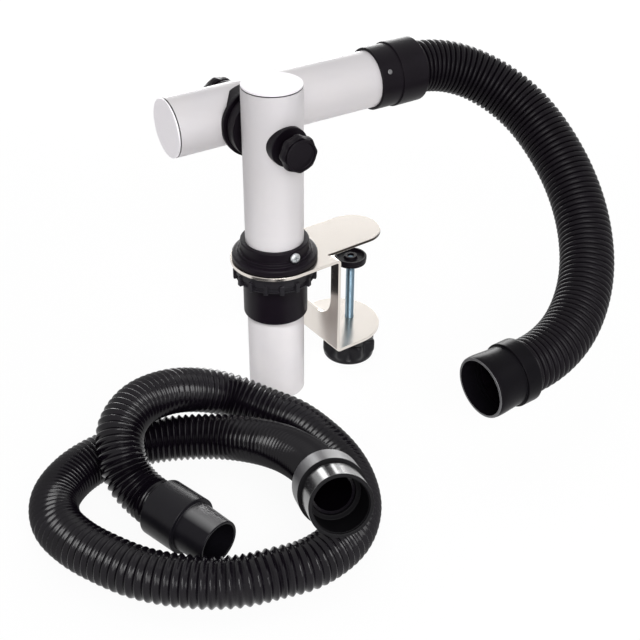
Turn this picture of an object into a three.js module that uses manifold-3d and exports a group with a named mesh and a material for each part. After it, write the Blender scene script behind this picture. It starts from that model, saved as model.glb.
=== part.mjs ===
// Fume extraction arm for a bench: clamp bracket, column, pivoting arm tube, stay-put flexible arm,
// and the loose connecting hose that lies beside it. Millimetres, +Z up.
// Origin: underside of the bracket's tongue, on the clamp screw's axis.
import * as THREE from 'three';
import { mergeVertices } from 'three/addons/utils/BufferGeometryUtils.js';
import Module from 'manifold-3d';

// Gaps between neighbouring pieces
const FIT = 0.3;
const BOLT_CLEARANCE = 0.4;
const HOSE_CLEARANCE = 0.4;

// Tubes: the column and the arm are cut from the same stock
const TUBE_OD = 50;
const TUBE_WALL = 1.5;
const COLUMN_LENGTH = 290;
const COLUMN_TOP = 156.3;
const ARM_LENGTH = 212;
const ARM_BEHIND_PIVOT = 65.6;

// End caps
const CAP_FLANGE = 0.6;
const CAP_FLANGE_INSET = 0.2;
const CAP_DISC = 1.1;
const CAP_DISC_INSET = 0.4;
const CAP_DISC_BEVEL = 0.35;
const CAP_SPIGOT = 7;
const CAP_SPIGOT_WALL = 2;

// Where the column, pivot and arm stand
const CLAMP_REACH = 82.5;
const PIVOT_DROP = 41.1;
const SADDLE_SPACE = 6;
const SWING = -5.1;
const TILT = 1.28;

// Column bush, liner and collar screw
const COLLAR_TOP = 20.7;
const COLLAR_WALL = 4.2;
const COLLAR_EDGE = 0.8;
const COLLAR_FOOT = 12;
const BUSH_STEP_OVER = 2.5;
const BUSH_STEP_FOOT = 9;
const BUSH_FLANGE_OVER = 4.8;
const BUSH_FLANGE_EDGE = 1;
const BUSH_FLANGE_TOP = 8.4;
const SLEEVE_WALL = 1.4;
const SLEEVE_BELOW = 50.5;
const LINER_WALL = 1;
const LINER_TOP = 8.6;
const COLLAR_SCREW_Z = 14.6;
const COLLAR_SCREW_D = 5;
const COLLAR_SCREW_HEAD_D = 9.6;
const COLLAR_SCREW_HEAD = 2.8;
const COLLAR_SCREW_RECESS_D = 5.2;
const COLLAR_SCREW_RECESS_W = 1.2;
const COLLAR_SCREW_RECESS = 1.5;

// Ring nut under the plate
const NUT_DISC_WALL = 6.2;
const NUT_DISC = 9.4;
const NUT_SKIRT_WALL = 4.4;
const NUT_SKIRT = 5.3;
const NUT_LIP = 1.6;
const NUT_LIP_H = 1.3;
const NUT_LUGS = 16;
const NUT_LUG_W = 3.2;
const NUT_LUG_AT = 20.7;
const NUT_LUG_OUT = 8.2;
const NUT_LUG_TOP = 6.2;
const NUT_LUG_BELOW = 0.5;

// Bent sheet bracket
const SHEET = 3;
const BEND_INNER = 1.2;
const BRACKET_W = 77;
const THROAT_DEPTH = 39.9;
const JAW_DEPTH = 90.7;
const JAW_END_X = -13.4;
const TONGUE_W = 50;
const TONGUE_END_X = 1.2;
const SLOT_SIDE = 2.5;
const SLOT_RELIEF = 0.8;
const SLOT_FLOOR = 63.6;
const SLOT_CORNER = 21.4;

// Clamp screw, nut, pad and knob
const CLAMP_THREAD_D = 8;
const CLAMP_NUT_AF = 13;
const CLAMP_NUT_H = 6.5;
const PAD_D = 29;
const PAD_TOP = 24.6;
const PAD_H = 6.6;
const PAD_RIM = 1.8;
const PAD_DISH = 2.4;
const PAD_BOSS_WALL = 2.6;
const PAD_EDGE = 0.8;
const TIP_D = 5.6;
const TIP_H = 1.2;
const TIP_SUNK = 1.3;
const NECK_D = 4.2;
const CLAMP_KNOB_D = 52;
const CLAMP_KNOB_H = 19.6;
const CLAMP_KNOB_RIM_D = 47.4;
const CLAMP_KNOB_LOBES = 8;
const CLAMP_KNOB_AT = 32;
const CLAMP_KNOB_SCALLOP = 5.6;
const CLAMP_KNOB_HUB_D = 20;
const CLAMP_KNOB_HUB_H = 4;
const CLAMP_KNOB_DROP = 7.1;
const CLAMP_SCREW_IN_KNOB = 12;

// Pivot: bolt, saddles, washers and star knobs
const BOLT_D = 6;
const AIR_HOLE_D = 30;
const COLUMN_SADDLE_D = 55;
const ARM_SADDLE_D = 60.6;
const ARM_SADDLE_FLANGE = 3.7;
const ARM_EAR_D = 54.4;
const ARM_EAR_WRAP = 16;
const SADDLE_WRAP = 9;
const SADDLE_GROOVE_IN = 2.2;
const SADDLE_GROOVE_W = 1.4;
const WASHER_D = 33;
const WASHER_OUT = 3.6;
const WASHER_WRAP = 6.5;
const KNOB_D = 31.4;
const KNOB_HEAD = 10;
const KNOB_LOBES = 8;
const KNOB_SCALLOP = 1.5;
const KNOB_RIM_D = 27.2;
const KNOB_FACE_D = 22.2;
const KNOB_FACE_SUNK = 1;
const KNOB_HUB_D = 19;
const FRONT_KNOB_HUB = 8;
const REAR_KNOB_HUB = 2.2;
const KNOB_GAP = 0.8;
const BOLT_IN_HEAD = 4;
const KNOB_BEVEL = 1.2;

// Upper cuff and nozzle cuff: one shape of moulding, used twice
const CUFF_SOCKET = 21;
const CUFF_STOP = 2.5;
const CUFF_COLLAR = 24.5;
const CUFF_SOCKET_WALL = 2.3;
const CUFF_COLLAR_WALL = 5.2;
const CUFF_STOP_IN = 2.5;
const CUFF_EDGE = 0.7;
const NOZZLE_COLLAR = 25;
const NOZZLE_STEP = 10.7;
const NOZZLE_WAIST_D = 50.2;
const NOZZLE_MOUTH = 14.2;
const NOZZLE_LIP = 9;
const NOZZLE_MOUTH_BORE = 46.6;
const NOZZLE_WALL = 2.8;
const NOZZLE_COLLAR_WALL = 3.3;
const RIVET_FROM_EDGE = 8;
const RIVET_UP = 28.3;
const RIVET_D = 2.8;
const RIVET_HEAD_D = 4.6;
const RIVET_HEAD = 0.8;

// Stay-put flexible arm: six equal lengths, each bent by its own angle in one leaning plane
const FLEX_OD = 46.5;
const FLEX_RIB = 2.3;
const FLEX_WALL = 2.4;
const FLEX_LENGTH = 68.6;
const FLEX_TURNS = [49, 34, 19.2, 19.2, 23.6, 32];
const FLEX_LEAN = 57;
const FLEX_RIBS = 12;
const FLEX_LEAD_IN = 1.6;
const FLEX_LEAD_OUT = 8;
const FLEX_JOIN = 0.4;

// Connecting hose lying on the table
const HOSE_OD = 38.4;
const HOSE_RIB = 2.2;
const HOSE_WALL = 2.2;
const HOSE_RIBS = 146;
const HOSE_BORE_STEP = 5;
const HOSE_IN_CUFF = 19;
const LARGE_CUFF_COLLAR = 21;
const LARGE_CUFF_COLLAR_WALL = 6.7;
const LARGE_CUFF_GROOVE = 1.6;
const LARGE_CUFF_GROOVE_DEPTH = 0.8;
const LARGE_CUFF_MOUTH = 25.5;
const LARGE_CUFF_MOUTH_D = 47.6;
const LARGE_CUFF_MOUTH_WALL = 2.2;
const SMALL_CUFF_COLLAR = 32.6;
const SMALL_CUFF_COLLAR_WALL = 3.6;
const SMALL_CUFF_SPIGOT = 28.6;
const SMALL_CUFF_ROOT_D = 40;
const SMALL_CUFF_TIP_D = 37.4;
const SMALL_CUFF_WALL = 2.4;
const CUFF_SHOULDER = 2;

// Centreline of the connecting hose, from inside the large cuff to inside the small cuff
const HOSE_ROUTE = [
  [-174.1, -208.6, -64],
  [-167.3, -192.3, -71.1],
  [-160.5, -176, -78.2],
  [-155.5, -157.5, -85],
  [-152.5, -137, -92],
  [-152.5, -113.5, -99.7],
  [-158.5, -89.5, -106.3],
  [-173.5, -63.5, -111.9],
  [-200, -42, -113.6],
  [-232.5, -27, -113.6],
  [-265.5, -22.5, -113.6],
  [-297, -28.5, -113.6],
  [-322.5, -46.5, -113.6],
  [-333, -72, -113.6],
  [-330, -100, -113.6],
  [-319.5, -128, -113.6],
  [-304, -156.5, -113.6],
  [-278, -184.5, -113.6],
  [-252.5, -202, -113.6],
  [-227, -211, -113.6],
  [-198.5, -218, -113.6],
  [-164, -212.5, -113.6],
  [-138.5, -193.5, -113.6],
  [-122.5, -167, -113.6],
  [-114, -137, -113.6],
  [-112.5, -105.5, -113.6],
  [-116, -74.5, -113.6],
  [-129, -47, -111.6],
  [-147, -23.5, -104.6],
  [-173, -15, -92.6],
  [-205.5, -17.5, -79.4],
  [-237, -26, -74],
  [-258.5, -40, -78.4],
  [-268.5, -57.5, -89],
  [-269.5, -74.5, -102],
  [-264.5, -92.9, -109.8],
  [-261.1, -106.5, -109.8],
  [-256.5, -124.9, -109.8],
];

// Sizes that follow from the ones above
const TUBE_R = TUBE_OD / 2;
const TUBE_BORE_R = TUBE_R - TUBE_WALL;
const TUBE_HUG_R = TUBE_R + FIT;
const COLUMN_FOOT = COLUMN_TOP - COLUMN_LENGTH;
const PIVOT_Z = COLUMN_TOP - PIVOT_DROP;
const ARM_OFFSET = TUBE_OD + SADDLE_SPACE;
const SADDLE_FACE = TUBE_R + SADDLE_SPACE / 2;
const LINER_R = TUBE_HUG_R + LINER_WALL;
const BUSH_BORE_R = LINER_R + FIT;
const SLEEVE_R = BUSH_BORE_R + SLEEVE_WALL;
const COLLAR_R = TUBE_HUG_R + COLLAR_WALL;
const BUSH_STEP_R = COLLAR_R + BUSH_STEP_OVER;
const BUSH_FLANGE_R = BUSH_STEP_R + BUSH_FLANGE_OVER;
const NUT_BORE_R = SLEEVE_R + FIT;
const NUT_SKIRT_FOOT = -FIT - NUT_DISC - NUT_SKIRT;
const PLATE_HOLE_R = SLEEVE_R + BOLT_CLEARANCE;
const WEB_FACE_X = -THROAT_DEPTH;
const BOLT_HOLE_R = BOLT_D / 2 + BOLT_CLEARANCE;
const WASHER_FACE = TUBE_R + WASHER_OUT;
const KNOB_FOOT = WASHER_FACE + KNOB_GAP;
const SCREW_R = CLAMP_THREAD_D / 2;
const PAD_FOOT = -PAD_TOP - PAD_H;
const JAW_FOOT = -JAW_DEPTH - SHEET;
const CLAMP_NUT_FOOT = JAW_FOOT - FIT - CLAMP_NUT_H;
const CLAMP_HUB_TOP = CLAMP_NUT_FOOT - CLAMP_KNOB_DROP;
const CLAMP_KNOB_TOP = CLAMP_HUB_TOP - CLAMP_KNOB_HUB_H;
const ARM_END_X = ARM_LENGTH - ARM_BEHIND_PIVOT;
const CUFF_STOP_X = ARM_END_X + FIT;
const CUFF_FRONT_X = CUFF_STOP_X - CUFF_SOCKET;
const CUFF_HOSE_X = CUFF_STOP_X + CUFF_STOP;
const CUFF_END_X = CUFF_HOSE_X + CUFF_COLLAR;
const FLEX_R = FLEX_OD / 2;
const FLEX_HUG_R = FLEX_R + HOSE_CLEARANCE;
const CUFF_COLLAR_R = FLEX_HUG_R + CUFF_COLLAR_WALL;
const HOSE_R = HOSE_OD / 2;
const HOSE_HUG_R = HOSE_R + HOSE_CLEARANCE;

const DEG = Math.PI / 180;
const ROUND = 24;

const wasm = await Module();
wasm.setup();

// Colours and surfaces of the real materials
function surface(color, roughness, metalness) {
  return new THREE.MeshStandardMaterial({ color, roughness, metalness });
}
const anodised = () => surface('#cfcdce', 0.42, 0.9);
const capMetal = () => surface('#e4e2e2', 0.4, 0.7);
const blackPlastic = () => surface('#1b1b1f', 0.48, 0);
const greyPlastic = () => surface('#26262a', 0.55, 0);
const nickel = () => surface('#e6ded4', 0.3, 0.85);
const zinc = () => surface('#b9c0c8', 0.35, 0.9);
const hoseBlack = () => surface('#17171a', 0.35, 0);

// Closed body from a geometry, for joining and cutting
function solid(geometry) {
  const bare = geometry.clone();
  bare.deleteAttribute('normal');
  bare.deleteAttribute('uv');
  const merged = mergeVertices(bare, 1e-4);
  return new wasm.Manifold(new wasm.Mesh({
    numProp: 3,
    vertProperties: new Float32Array(merged.attributes.position.array),
    triVerts: new Uint32Array(merged.index.array),
  }));
}

// Geometry from a closed body
function shaped(body) {
  const mesh = body.getMesh();
  const geometry = new THREE.BufferGeometry();
  geometry.setAttribute('position', new THREE.BufferAttribute(new Float32Array(mesh.vertProperties), 3));
  geometry.setIndex(new THREE.BufferAttribute(new Uint32Array(mesh.triVerts), 1));
  geometry.computeVertexNormals();
  return geometry;
}

// Body of revolution about Z from [radius, height] pairs; the outline closes on itself
function turned(outline, segments = ROUND) {
  const points = outline.map(([radius, height]) => new THREE.Vector2(radius, height));
  if (THREE.ShapeUtils.isClockWise(points)) {
    points.reverse();
  }
  points.push(points[0].clone());
  const geometry = new THREE.LatheGeometry(points, segments);
  geometry.rotateX(Math.PI / 2);
  return geometry;
}

// Body of revolution about Z that is solid on its axis
function turnedSolid(outline, segments = ROUND) {
  const points = outline.map(([radius, height]) => new THREE.Vector2(radius, height));
  if (THREE.ShapeUtils.isClockWise(points)) {
    points.reverse();
  }
  const geometry = new THREE.LatheGeometry(points, segments);
  geometry.rotateX(Math.PI / 2);
  return geometry;
}

// Round bar about Z between two heights
function bar(radius, from, to, segments = ROUND) {
  return turnedSolid([[0, from], [radius, from], [radius, to], [0, to]], segments);
}

// The same body laid along +X or along +Y
function alongX(geometry) {
  return geometry.rotateY(Math.PI / 2);
}
function alongY(geometry) {
  return geometry.rotateX(-Math.PI / 2);
}

// Flat plate from an outline, between two heights
function plate(shape, from, to, curveSegments = 16) {
  const geometry = new THREE.ExtrudeGeometry(shape, { depth: to - from, bevelEnabled: false, curveSegments });
  geometry.translate(0, 0, from);
  return geometry;
}

function piece(name, geometry, material, parent) {
  const mesh = new THREE.Mesh(geometry, material);
  mesh.name = name;
  parent.add(mesh);
  return mesh;
}

function group(name, parent) {
  const node = new THREE.Group();
  node.name = name;
  parent.add(node);
  return node;
}

const assembly = new THREE.Group();
assembly.name = 'fume_extraction_arm';

// Bracket: ring plate, web and lower jaw folded from one strip, rounded at both ends
function bracketGeometry() {
  const outer = BEND_INNER + SHEET;
  const strip = new THREE.Shape();
  const left = -CLAMP_REACH - BRACKET_W;
  const right = BRACKET_W;
  const webBack = WEB_FACE_X - SHEET;
  strip.moveTo(left, SHEET);
  strip.lineTo(WEB_FACE_X - outer, SHEET);
  strip.absarc(WEB_FACE_X - outer, SHEET - outer, outer, Math.PI / 2, 0, true);
  strip.lineTo(WEB_FACE_X, -JAW_DEPTH + BEND_INNER);
  strip.absarc(WEB_FACE_X + BEND_INNER, -JAW_DEPTH + BEND_INNER, BEND_INNER, Math.PI, 1.5 * Math.PI, false);
  strip.lineTo(right, -JAW_DEPTH);
  strip.lineTo(right, JAW_FOOT);
  strip.lineTo(webBack + outer, JAW_FOOT);
  strip.absarc(webBack + outer, JAW_FOOT + outer, outer, 1.5 * Math.PI, Math.PI, true);
  strip.lineTo(webBack, -BEND_INNER);
  strip.absarc(webBack - BEND_INNER, -BEND_INNER, BEND_INNER, 0, Math.PI / 2, false);
  strip.lineTo(left, 0);
  const folded = plate(strip, -BRACKET_W / 2, BRACKET_W / 2, 6);
  folded.rotateX(Math.PI / 2);

  const half = BRACKET_W / 2;
  const outline = new THREE.Shape();
  outline.absarc(-CLAMP_REACH, 0, half, Math.PI / 2, 1.5 * Math.PI, false);
  outline.absarc(JAW_END_X, 0, half, -Math.PI / 2, Math.PI / 2, false);
  const rounded = plate(outline, JAW_FOOT - 1, SHEET + 1, 18);

  const slotHalf = TONGUE_W / 2 + SLOT_SIDE;
  const slot = new THREE.Shape();
  slot.moveTo(-slotHalf, SHEET + 1);
  const cornerY = slotHalf - SLOT_CORNER;
  const cornerZ = SLOT_CORNER - SLOT_FLOOR;
  slot.lineTo(-slotHalf, cornerZ);
  slot.absarc(-cornerY, cornerZ, SLOT_CORNER, Math.PI, 1.5 * Math.PI, false);
  slot.absarc(cornerY, cornerZ, SLOT_CORNER, 1.5 * Math.PI, 2 * Math.PI, false);
  slot.lineTo(slotHalf, SHEET + 1);
  const slotCut = plate(slot, 0, outer + SLOT_RELIEF + 1, 7);
  slotCut.rotateX(Math.PI / 2);
  slotCut.rotateZ(Math.PI / 2);
  slotCut.translate(WEB_FACE_X - outer - SLOT_RELIEF, 0, 0);

  const tongueHalf = TONGUE_W / 2;
  const tongueShape = new THREE.Shape();
  tongueShape.moveTo(WEB_FACE_X - outer - 2 * SLOT_RELIEF, -tongueHalf);
  tongueShape.absarc(TONGUE_END_X, 0, tongueHalf, -Math.PI / 2, Math.PI / 2, false);
  tongueShape.lineTo(WEB_FACE_X - outer - 2 * SLOT_RELIEF, tongueHalf);
  const tongue = plate(tongueShape, 0, SHEET, 14);

  const columnHole = bar(PLATE_HOLE_R, -1, SHEET + 1).translate(-CLAMP_REACH, 0, 0);
  const screwHole = bar(SCREW_R + BOLT_CLEARANCE, JAW_FOOT - 1, -JAW_DEPTH + 1, 16);
  const folds = solid(folded).intersect(solid(rounded)).subtract(solid(slotCut));
  return shaped(folds.add(solid(tongue)).subtract(solid(columnHole)).subtract(solid(screwHole)));
}
const clamp = group('clamp', assembly);
piece('bracket', bracketGeometry(), nickel(), clamp);

// Clamp nut: hexagon nut fixed under the lower jaw
const hexagon = new THREE.Shape();
for (let corner = 0; corner < 6; corner += 1) {
  const angle = (corner * 60 + 30) * DEG;
  const reach = CLAMP_NUT_AF / Math.sqrt(3);
  hexagon[corner ? 'lineTo' : 'moveTo'](reach * Math.cos(angle), reach * Math.sin(angle));
}
const nutBore = new THREE.Path();
nutBore.absarc(0, 0, SCREW_R + BOLT_CLEARANCE, 0, 2 * Math.PI, true);
hexagon.holes.push(nutBore);
piece('clamp_nut', plate(hexagon, CLAMP_NUT_FOOT, JAW_FOOT - FIT, 12), zinc(), clamp);

// Pressure pad: round pad with a raised rim and a ring boss round the screw's tip
const padR = PAD_D / 2;
const bossR = TIP_D / 2 + FIT + PAD_BOSS_WALL;
const tipSeat = -PAD_TOP - TIP_SUNK - TIP_H - FIT;
const pad = turned([
  [NECK_D / 2 + FIT, PAD_FOOT],
  [padR - PAD_EDGE, PAD_FOOT],
  [padR, PAD_FOOT + PAD_EDGE],
  [padR, -PAD_TOP - PAD_EDGE],
  [padR - PAD_EDGE, -PAD_TOP],
  [padR - PAD_RIM, -PAD_TOP],
  [padR - PAD_RIM - PAD_EDGE, -PAD_TOP - PAD_DISH],
  [bossR + PAD_EDGE, -PAD_TOP - PAD_DISH],
  [bossR, -PAD_TOP - PAD_EDGE / 2],
  [bossR - PAD_EDGE / 2, -PAD_TOP],
  [TIP_D / 2 + FIT, -PAD_TOP],
  [TIP_D / 2 + FIT, tipSeat],
  [NECK_D / 2 + FIT, tipSeat],
], 18);
piece('clamp_pad', pad, blackPlastic(), clamp);

// Clamp screw: threaded rod with a necked tip riveted over inside the pad
const rodFoot = CLAMP_HUB_TOP - CLAMP_SCREW_IN_KNOB;
const tipFoot = -PAD_TOP - TIP_SUNK - TIP_H;
const clampRod = turnedSolid([
  [0, rodFoot],
  [SCREW_R - 0.6, rodFoot],
  [SCREW_R, rodFoot + 0.6],
  [SCREW_R, PAD_FOOT - FIT],
  [NECK_D / 2, PAD_FOOT - FIT],
  [NECK_D / 2, tipFoot],
  [TIP_D / 2, tipFoot],
  [TIP_D / 2, tipFoot + TIP_H * 0.6],
  [TIP_D / 2 - 0.8, tipFoot + TIP_H],
  [0, tipFoot + TIP_H],
], 16);
piece('clamp_screw', clampRod, zinc(), clamp);

// Star knob about Z from rows of [radius, height, scallop], from the lowest row to the highest
function starBlock(rows, lobes) {
  const around = lobes * 5;
  const positions = [];
  const index = [];
  rows.forEach(([radius, height, scallop]) => {
    for (let step = 0; step < around; step += 1) {
      const angle = (step / around) * 2 * Math.PI;
      const reach = radius - scallop * (0.5 - 0.5 * Math.cos(lobes * angle));
      positions.push(reach * Math.cos(angle), reach * Math.sin(angle), height);
    }
  });
  const top = rows.length - 1;
  const footCentre = rows.length * around;
  positions.push(0, 0, rows[0][1], 0, 0, rows[top][1]);
  for (let step = 0; step < around; step += 1) {
    const next = (step + 1) % around;
    index.push(footCentre, next, step, footCentre + 1, top * around + step, top * around + next);
    for (let row = 0; row < top; row += 1) {
      const low = row * around;
      const high = low + around;
      index.push(low + step, low + next, high + next, low + step, high + next, high + step);
    }
  }
  const geometry = new THREE.BufferGeometry();
  geometry.setAttribute('position', new THREE.Float32BufferAttribute(positions, 3));
  geometry.setIndex(index);
  return geometry;
}

// Clamp knob: larger star knob with a round lower rim and a hub, pressed onto the screw's lower end
const clampKnobR = CLAMP_KNOB_D / 2;
const clampRimR = CLAMP_KNOB_RIM_D / 2;
const clampStar = starBlock([
  [clampRimR - KNOB_BEVEL, 0, 0],
  [clampRimR, KNOB_BEVEL, 0],
  [clampRimR, CLAMP_KNOB_H * 0.2, 0],
  [clampKnobR, CLAMP_KNOB_H * 0.42, CLAMP_KNOB_SCALLOP * 0.75],
  [clampKnobR, CLAMP_KNOB_H * 0.75, CLAMP_KNOB_SCALLOP],
  [clampKnobR - KNOB_BEVEL, CLAMP_KNOB_H, CLAMP_KNOB_SCALLOP],
], CLAMP_KNOB_LOBES);
clampStar.rotateZ(CLAMP_KNOB_AT * DEG);
clampStar.translate(0, 0, CLAMP_KNOB_TOP - CLAMP_KNOB_H);
const clampHub = bar(CLAMP_KNOB_HUB_D / 2, CLAMP_KNOB_TOP - 1, CLAMP_HUB_TOP, 20);
const clampSocket = bar(SCREW_R + FIT, rodFoot - FIT, CLAMP_HUB_TOP + 1, 16);
const clampKnob = solid(clampStar).add(solid(clampHub)).subtract(solid(clampSocket));
piece('clamp_knob', shaped(clampKnob), blackPlastic(), clamp);

// Column bush: collar, step and flange above the plate, sleeve below it, pocket for the liner
const bushGroup = group('bush', assembly);
bushGroup.position.set(-CLAMP_REACH, 0, 0);
const bushOutline = turned([
  [TUBE_HUG_R, COLLAR_TOP],
  [COLLAR_R - COLLAR_EDGE, COLLAR_TOP],
  [COLLAR_R, COLLAR_TOP - COLLAR_EDGE],
  [COLLAR_R, COLLAR_FOOT],
  [BUSH_STEP_R - COLLAR_EDGE, COLLAR_FOOT],
  [BUSH_STEP_R, COLLAR_FOOT - COLLAR_EDGE],
  [BUSH_STEP_R, BUSH_STEP_FOOT],
  [BUSH_FLANGE_R - BUSH_FLANGE_EDGE, BUSH_FLANGE_TOP],
  [BUSH_FLANGE_R, BUSH_FLANGE_TOP - BUSH_FLANGE_EDGE],
  [BUSH_FLANGE_R, SHEET + FIT],
  [SLEEVE_R, SHEET + FIT],
  [SLEEVE_R, -SLEEVE_BELOW],
  [BUSH_BORE_R, -SLEEVE_BELOW],
  [BUSH_BORE_R, LINER_TOP + FIT],
  [TUBE_HUG_R, LINER_TOP + FIT],
]);
const collarHole = alongY(bar(COLLAR_SCREW_D / 2 + FIT, -COLLAR_R - 2, -TUBE_R + 2, 16));
collarHole.translate(0, 0, COLLAR_SCREW_Z);
const headPocketR = COLLAR_SCREW_HEAD_D / 2 + BOLT_CLEARANCE;
const headPocket = alongY(bar(headPocketR, -BUSH_FLANGE_R, -COLLAR_R, 20));
headPocket.translate(0, 0, COLLAR_SCREW_Z);
const bushCut = solid(bushOutline).subtract(solid(collarHole)).subtract(solid(headPocket));
piece('column_bush', shaped(bushCut), blackPlastic(), bushGroup);

// Liner: ring inside the bush that turns with the column and lets it slide
const liner = turned([
  [TUBE_HUG_R, LINER_TOP],
  [LINER_R, LINER_TOP],
  [LINER_R, -SLEEVE_BELOW + FIT],
  [TUBE_HUG_R, -SLEEVE_BELOW + FIT],
]);
piece('column_liner', liner, greyPlastic(), bushGroup);

// Collar screw: pan head with a cross recess, its shank bearing on the column
const headFoot = COLLAR_R + FIT;
const headTop = headFoot + COLLAR_SCREW_HEAD;
const headR = COLLAR_SCREW_HEAD_D / 2;
const screwBody = turnedSolid([
  [0, TUBE_HUG_R],
  [COLLAR_SCREW_D / 2, TUBE_HUG_R],
  [COLLAR_SCREW_D / 2, headFoot],
  [headR, headFoot],
  [headR, headFoot + COLLAR_SCREW_HEAD * 0.4],
  [headR * 0.85, headFoot + COLLAR_SCREW_HEAD * 0.8],
  [headR * 0.5, headTop],
  [0, headTop],
], 20);
const recessFloor = headTop - COLLAR_SCREW_RECESS;
const slotA = new THREE.BoxGeometry(COLLAR_SCREW_RECESS_D, COLLAR_SCREW_RECESS_W, 2 * COLLAR_SCREW_RECESS);
slotA.translate(0, 0, recessFloor + COLLAR_SCREW_RECESS);
const slotB = slotA.clone().rotateZ(Math.PI / 2);
const collarScrew = shaped(solid(screwBody).subtract(solid(slotA)).subtract(solid(slotB)));
collarScrew.rotateX(Math.PI / 2);
collarScrew.translate(0, 0, COLLAR_SCREW_Z);
piece('collar_screw', collarScrew, zinc(), bushGroup);

// Ring nut: disc against the plate, skirt with a lip, grip lugs all round
const nutDisc = turned([
  [NUT_BORE_R, -FIT],
  [NUT_BORE_R + NUT_DISC_WALL, -FIT],
  [NUT_BORE_R + NUT_DISC_WALL, -FIT - NUT_DISC],
  [NUT_BORE_R + NUT_SKIRT_WALL, -FIT - NUT_DISC],
  [NUT_BORE_R + NUT_SKIRT_WALL, NUT_SKIRT_FOOT + NUT_LIP_H],
  [NUT_BORE_R + NUT_SKIRT_WALL + NUT_LIP, NUT_SKIRT_FOOT + NUT_LIP_H],
  [NUT_BORE_R + NUT_SKIRT_WALL + NUT_LIP, NUT_SKIRT_FOOT],
  [NUT_BORE_R, NUT_SKIRT_FOOT],
]);
let ringNut = solid(nutDisc);
const lugFoot = NUT_SKIRT_FOOT - NUT_LUG_BELOW;
const lugTop = -FIT - NUT_LUG_TOP;
const lugIn = NUT_BORE_R + 1;
const lugOut = NUT_BORE_R + NUT_LUG_OUT;
for (let lug = 0; lug < NUT_LUGS; lug += 1) {
  const block = new THREE.BoxGeometry(lugOut - lugIn, NUT_LUG_W, lugTop - lugFoot);
  block.translate((lugOut + lugIn) / 2, 0, (lugTop + lugFoot) / 2);
  block.rotateZ((lug / NUT_LUGS) * 2 * Math.PI + NUT_LUG_AT * DEG);
  ringNut = ringNut.add(solid(block));
}
piece('ring_nut', shaped(ringNut), greyPlastic(), bushGroup);

// Column: tube with an air window at the back and a bolt hole at the front
const column = group('column', assembly);
column.position.set(-CLAMP_REACH, 0, 0);
column.rotation.z = SWING * DEG;
const tubeOutline = (from, to) => turned([
  [TUBE_BORE_R, from],
  [TUBE_R, from],
  [TUBE_R, to],
  [TUBE_BORE_R, to],
]);
const atPivot = (geometry) => geometry.translate(0, 0, PIVOT_Z);
const columnWindow = atPivot(alongY(bar(AIR_HOLE_D / 2, 0, TUBE_OD)));
const columnBoltHole = atPivot(alongY(bar(BOLT_HOLE_R, -TUBE_OD, 0, 16)));
const columnTube = solid(tubeOutline(COLUMN_FOOT, COLUMN_TOP));
const columnCut = columnTube.subtract(solid(columnWindow)).subtract(solid(columnBoltHole));
piece('column_tube', shaped(columnCut), anodised(), column);

// End cap about Z on a tube that ends at z = 0: push-in plug and metal disc
function capPlug() {
  const spigotR = TUBE_BORE_R - FIT;
  return turnedSolid([
    [0, FIT],
    [spigotR - CAP_SPIGOT_WALL, FIT],
    [spigotR - CAP_SPIGOT_WALL, FIT - CAP_SPIGOT],
    [spigotR, FIT - CAP_SPIGOT],
    [spigotR, FIT],
    [TUBE_R - CAP_FLANGE_INSET, FIT],
    [TUBE_R - CAP_FLANGE_INSET, FIT + CAP_FLANGE],
    [0, FIT + CAP_FLANGE],
  ]);
}
function capDisc() {
  const discR = TUBE_R - CAP_DISC_INSET;
  const foot = 2 * FIT + CAP_FLANGE;
  return turnedSolid([
    [0, foot],
    [discR, foot],
    [discR, foot + CAP_DISC - CAP_DISC_BEVEL],
    [discR - CAP_DISC_BEVEL, foot + CAP_DISC],
    [0, foot + CAP_DISC],
  ]);
}
piece('column_cap_plug', capPlug().translate(0, 0, COLUMN_TOP), blackPlastic(), column);
piece('column_cap_disc', capDisc().translate(0, 0, COLUMN_TOP), capMetal(), column);

// Pivot bolt: rod through both tubes, a star knob on each end
const rearKnobFoot = ARM_OFFSET + KNOB_FOOT;
const boltFrom = -KNOB_FOOT - FRONT_KNOB_HUB - BOLT_IN_HEAD;
const boltTo = rearKnobFoot + REAR_KNOB_HUB + BOLT_IN_HEAD;
piece('pivot_bolt', atPivot(alongY(bar(BOLT_D / 2, boltFrom, boltTo, 16))), zinc(), column);

// Column saddle: hugs the column's back, grooved next to the arm saddle, open for the air
const windowCut = () => alongY(bar(AIR_HOLE_D / 2, -2 * TUBE_OD, 2 * TUBE_OD));
const saddleEnd = SADDLE_FACE - FIT / 2;
const columnSaddleR = COLUMN_SADDLE_D / 2;
const columnSaddleBody = alongY(turnedSolid([
  [0, TUBE_R - SADDLE_WRAP],
  [columnSaddleR, TUBE_R - SADDLE_WRAP],
  [columnSaddleR, saddleEnd - SADDLE_GROOVE_W],
  [columnSaddleR - SADDLE_GROOVE_IN, saddleEnd - SADDLE_GROOVE_W],
  [columnSaddleR - SADDLE_GROOVE_IN, saddleEnd],
  [0, saddleEnd],
]));
const columnClear = bar(TUBE_HUG_R, -2 * TUBE_OD, 2 * TUBE_OD);
const columnSaddle = solid(columnSaddleBody).subtract(solid(columnClear)).subtract(solid(windowCut()));
piece('column_saddle', atPivot(shaped(columnSaddle)), blackPlastic(), column);

// Front washer: flat outside, hugging the column inside
const boltCut = () => alongY(bar(BOLT_HOLE_R, -3 * TUBE_OD, 3 * TUBE_OD, 16));
const frontWasherBody = alongY(bar(WASHER_D / 2, -WASHER_FACE, -TUBE_R + WASHER_WRAP));
const frontWasher = solid(frontWasherBody).subtract(solid(columnClear)).subtract(solid(boltCut()));
piece('front_washer', atPivot(shaped(frontWasher)), blackPlastic(), column);

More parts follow.
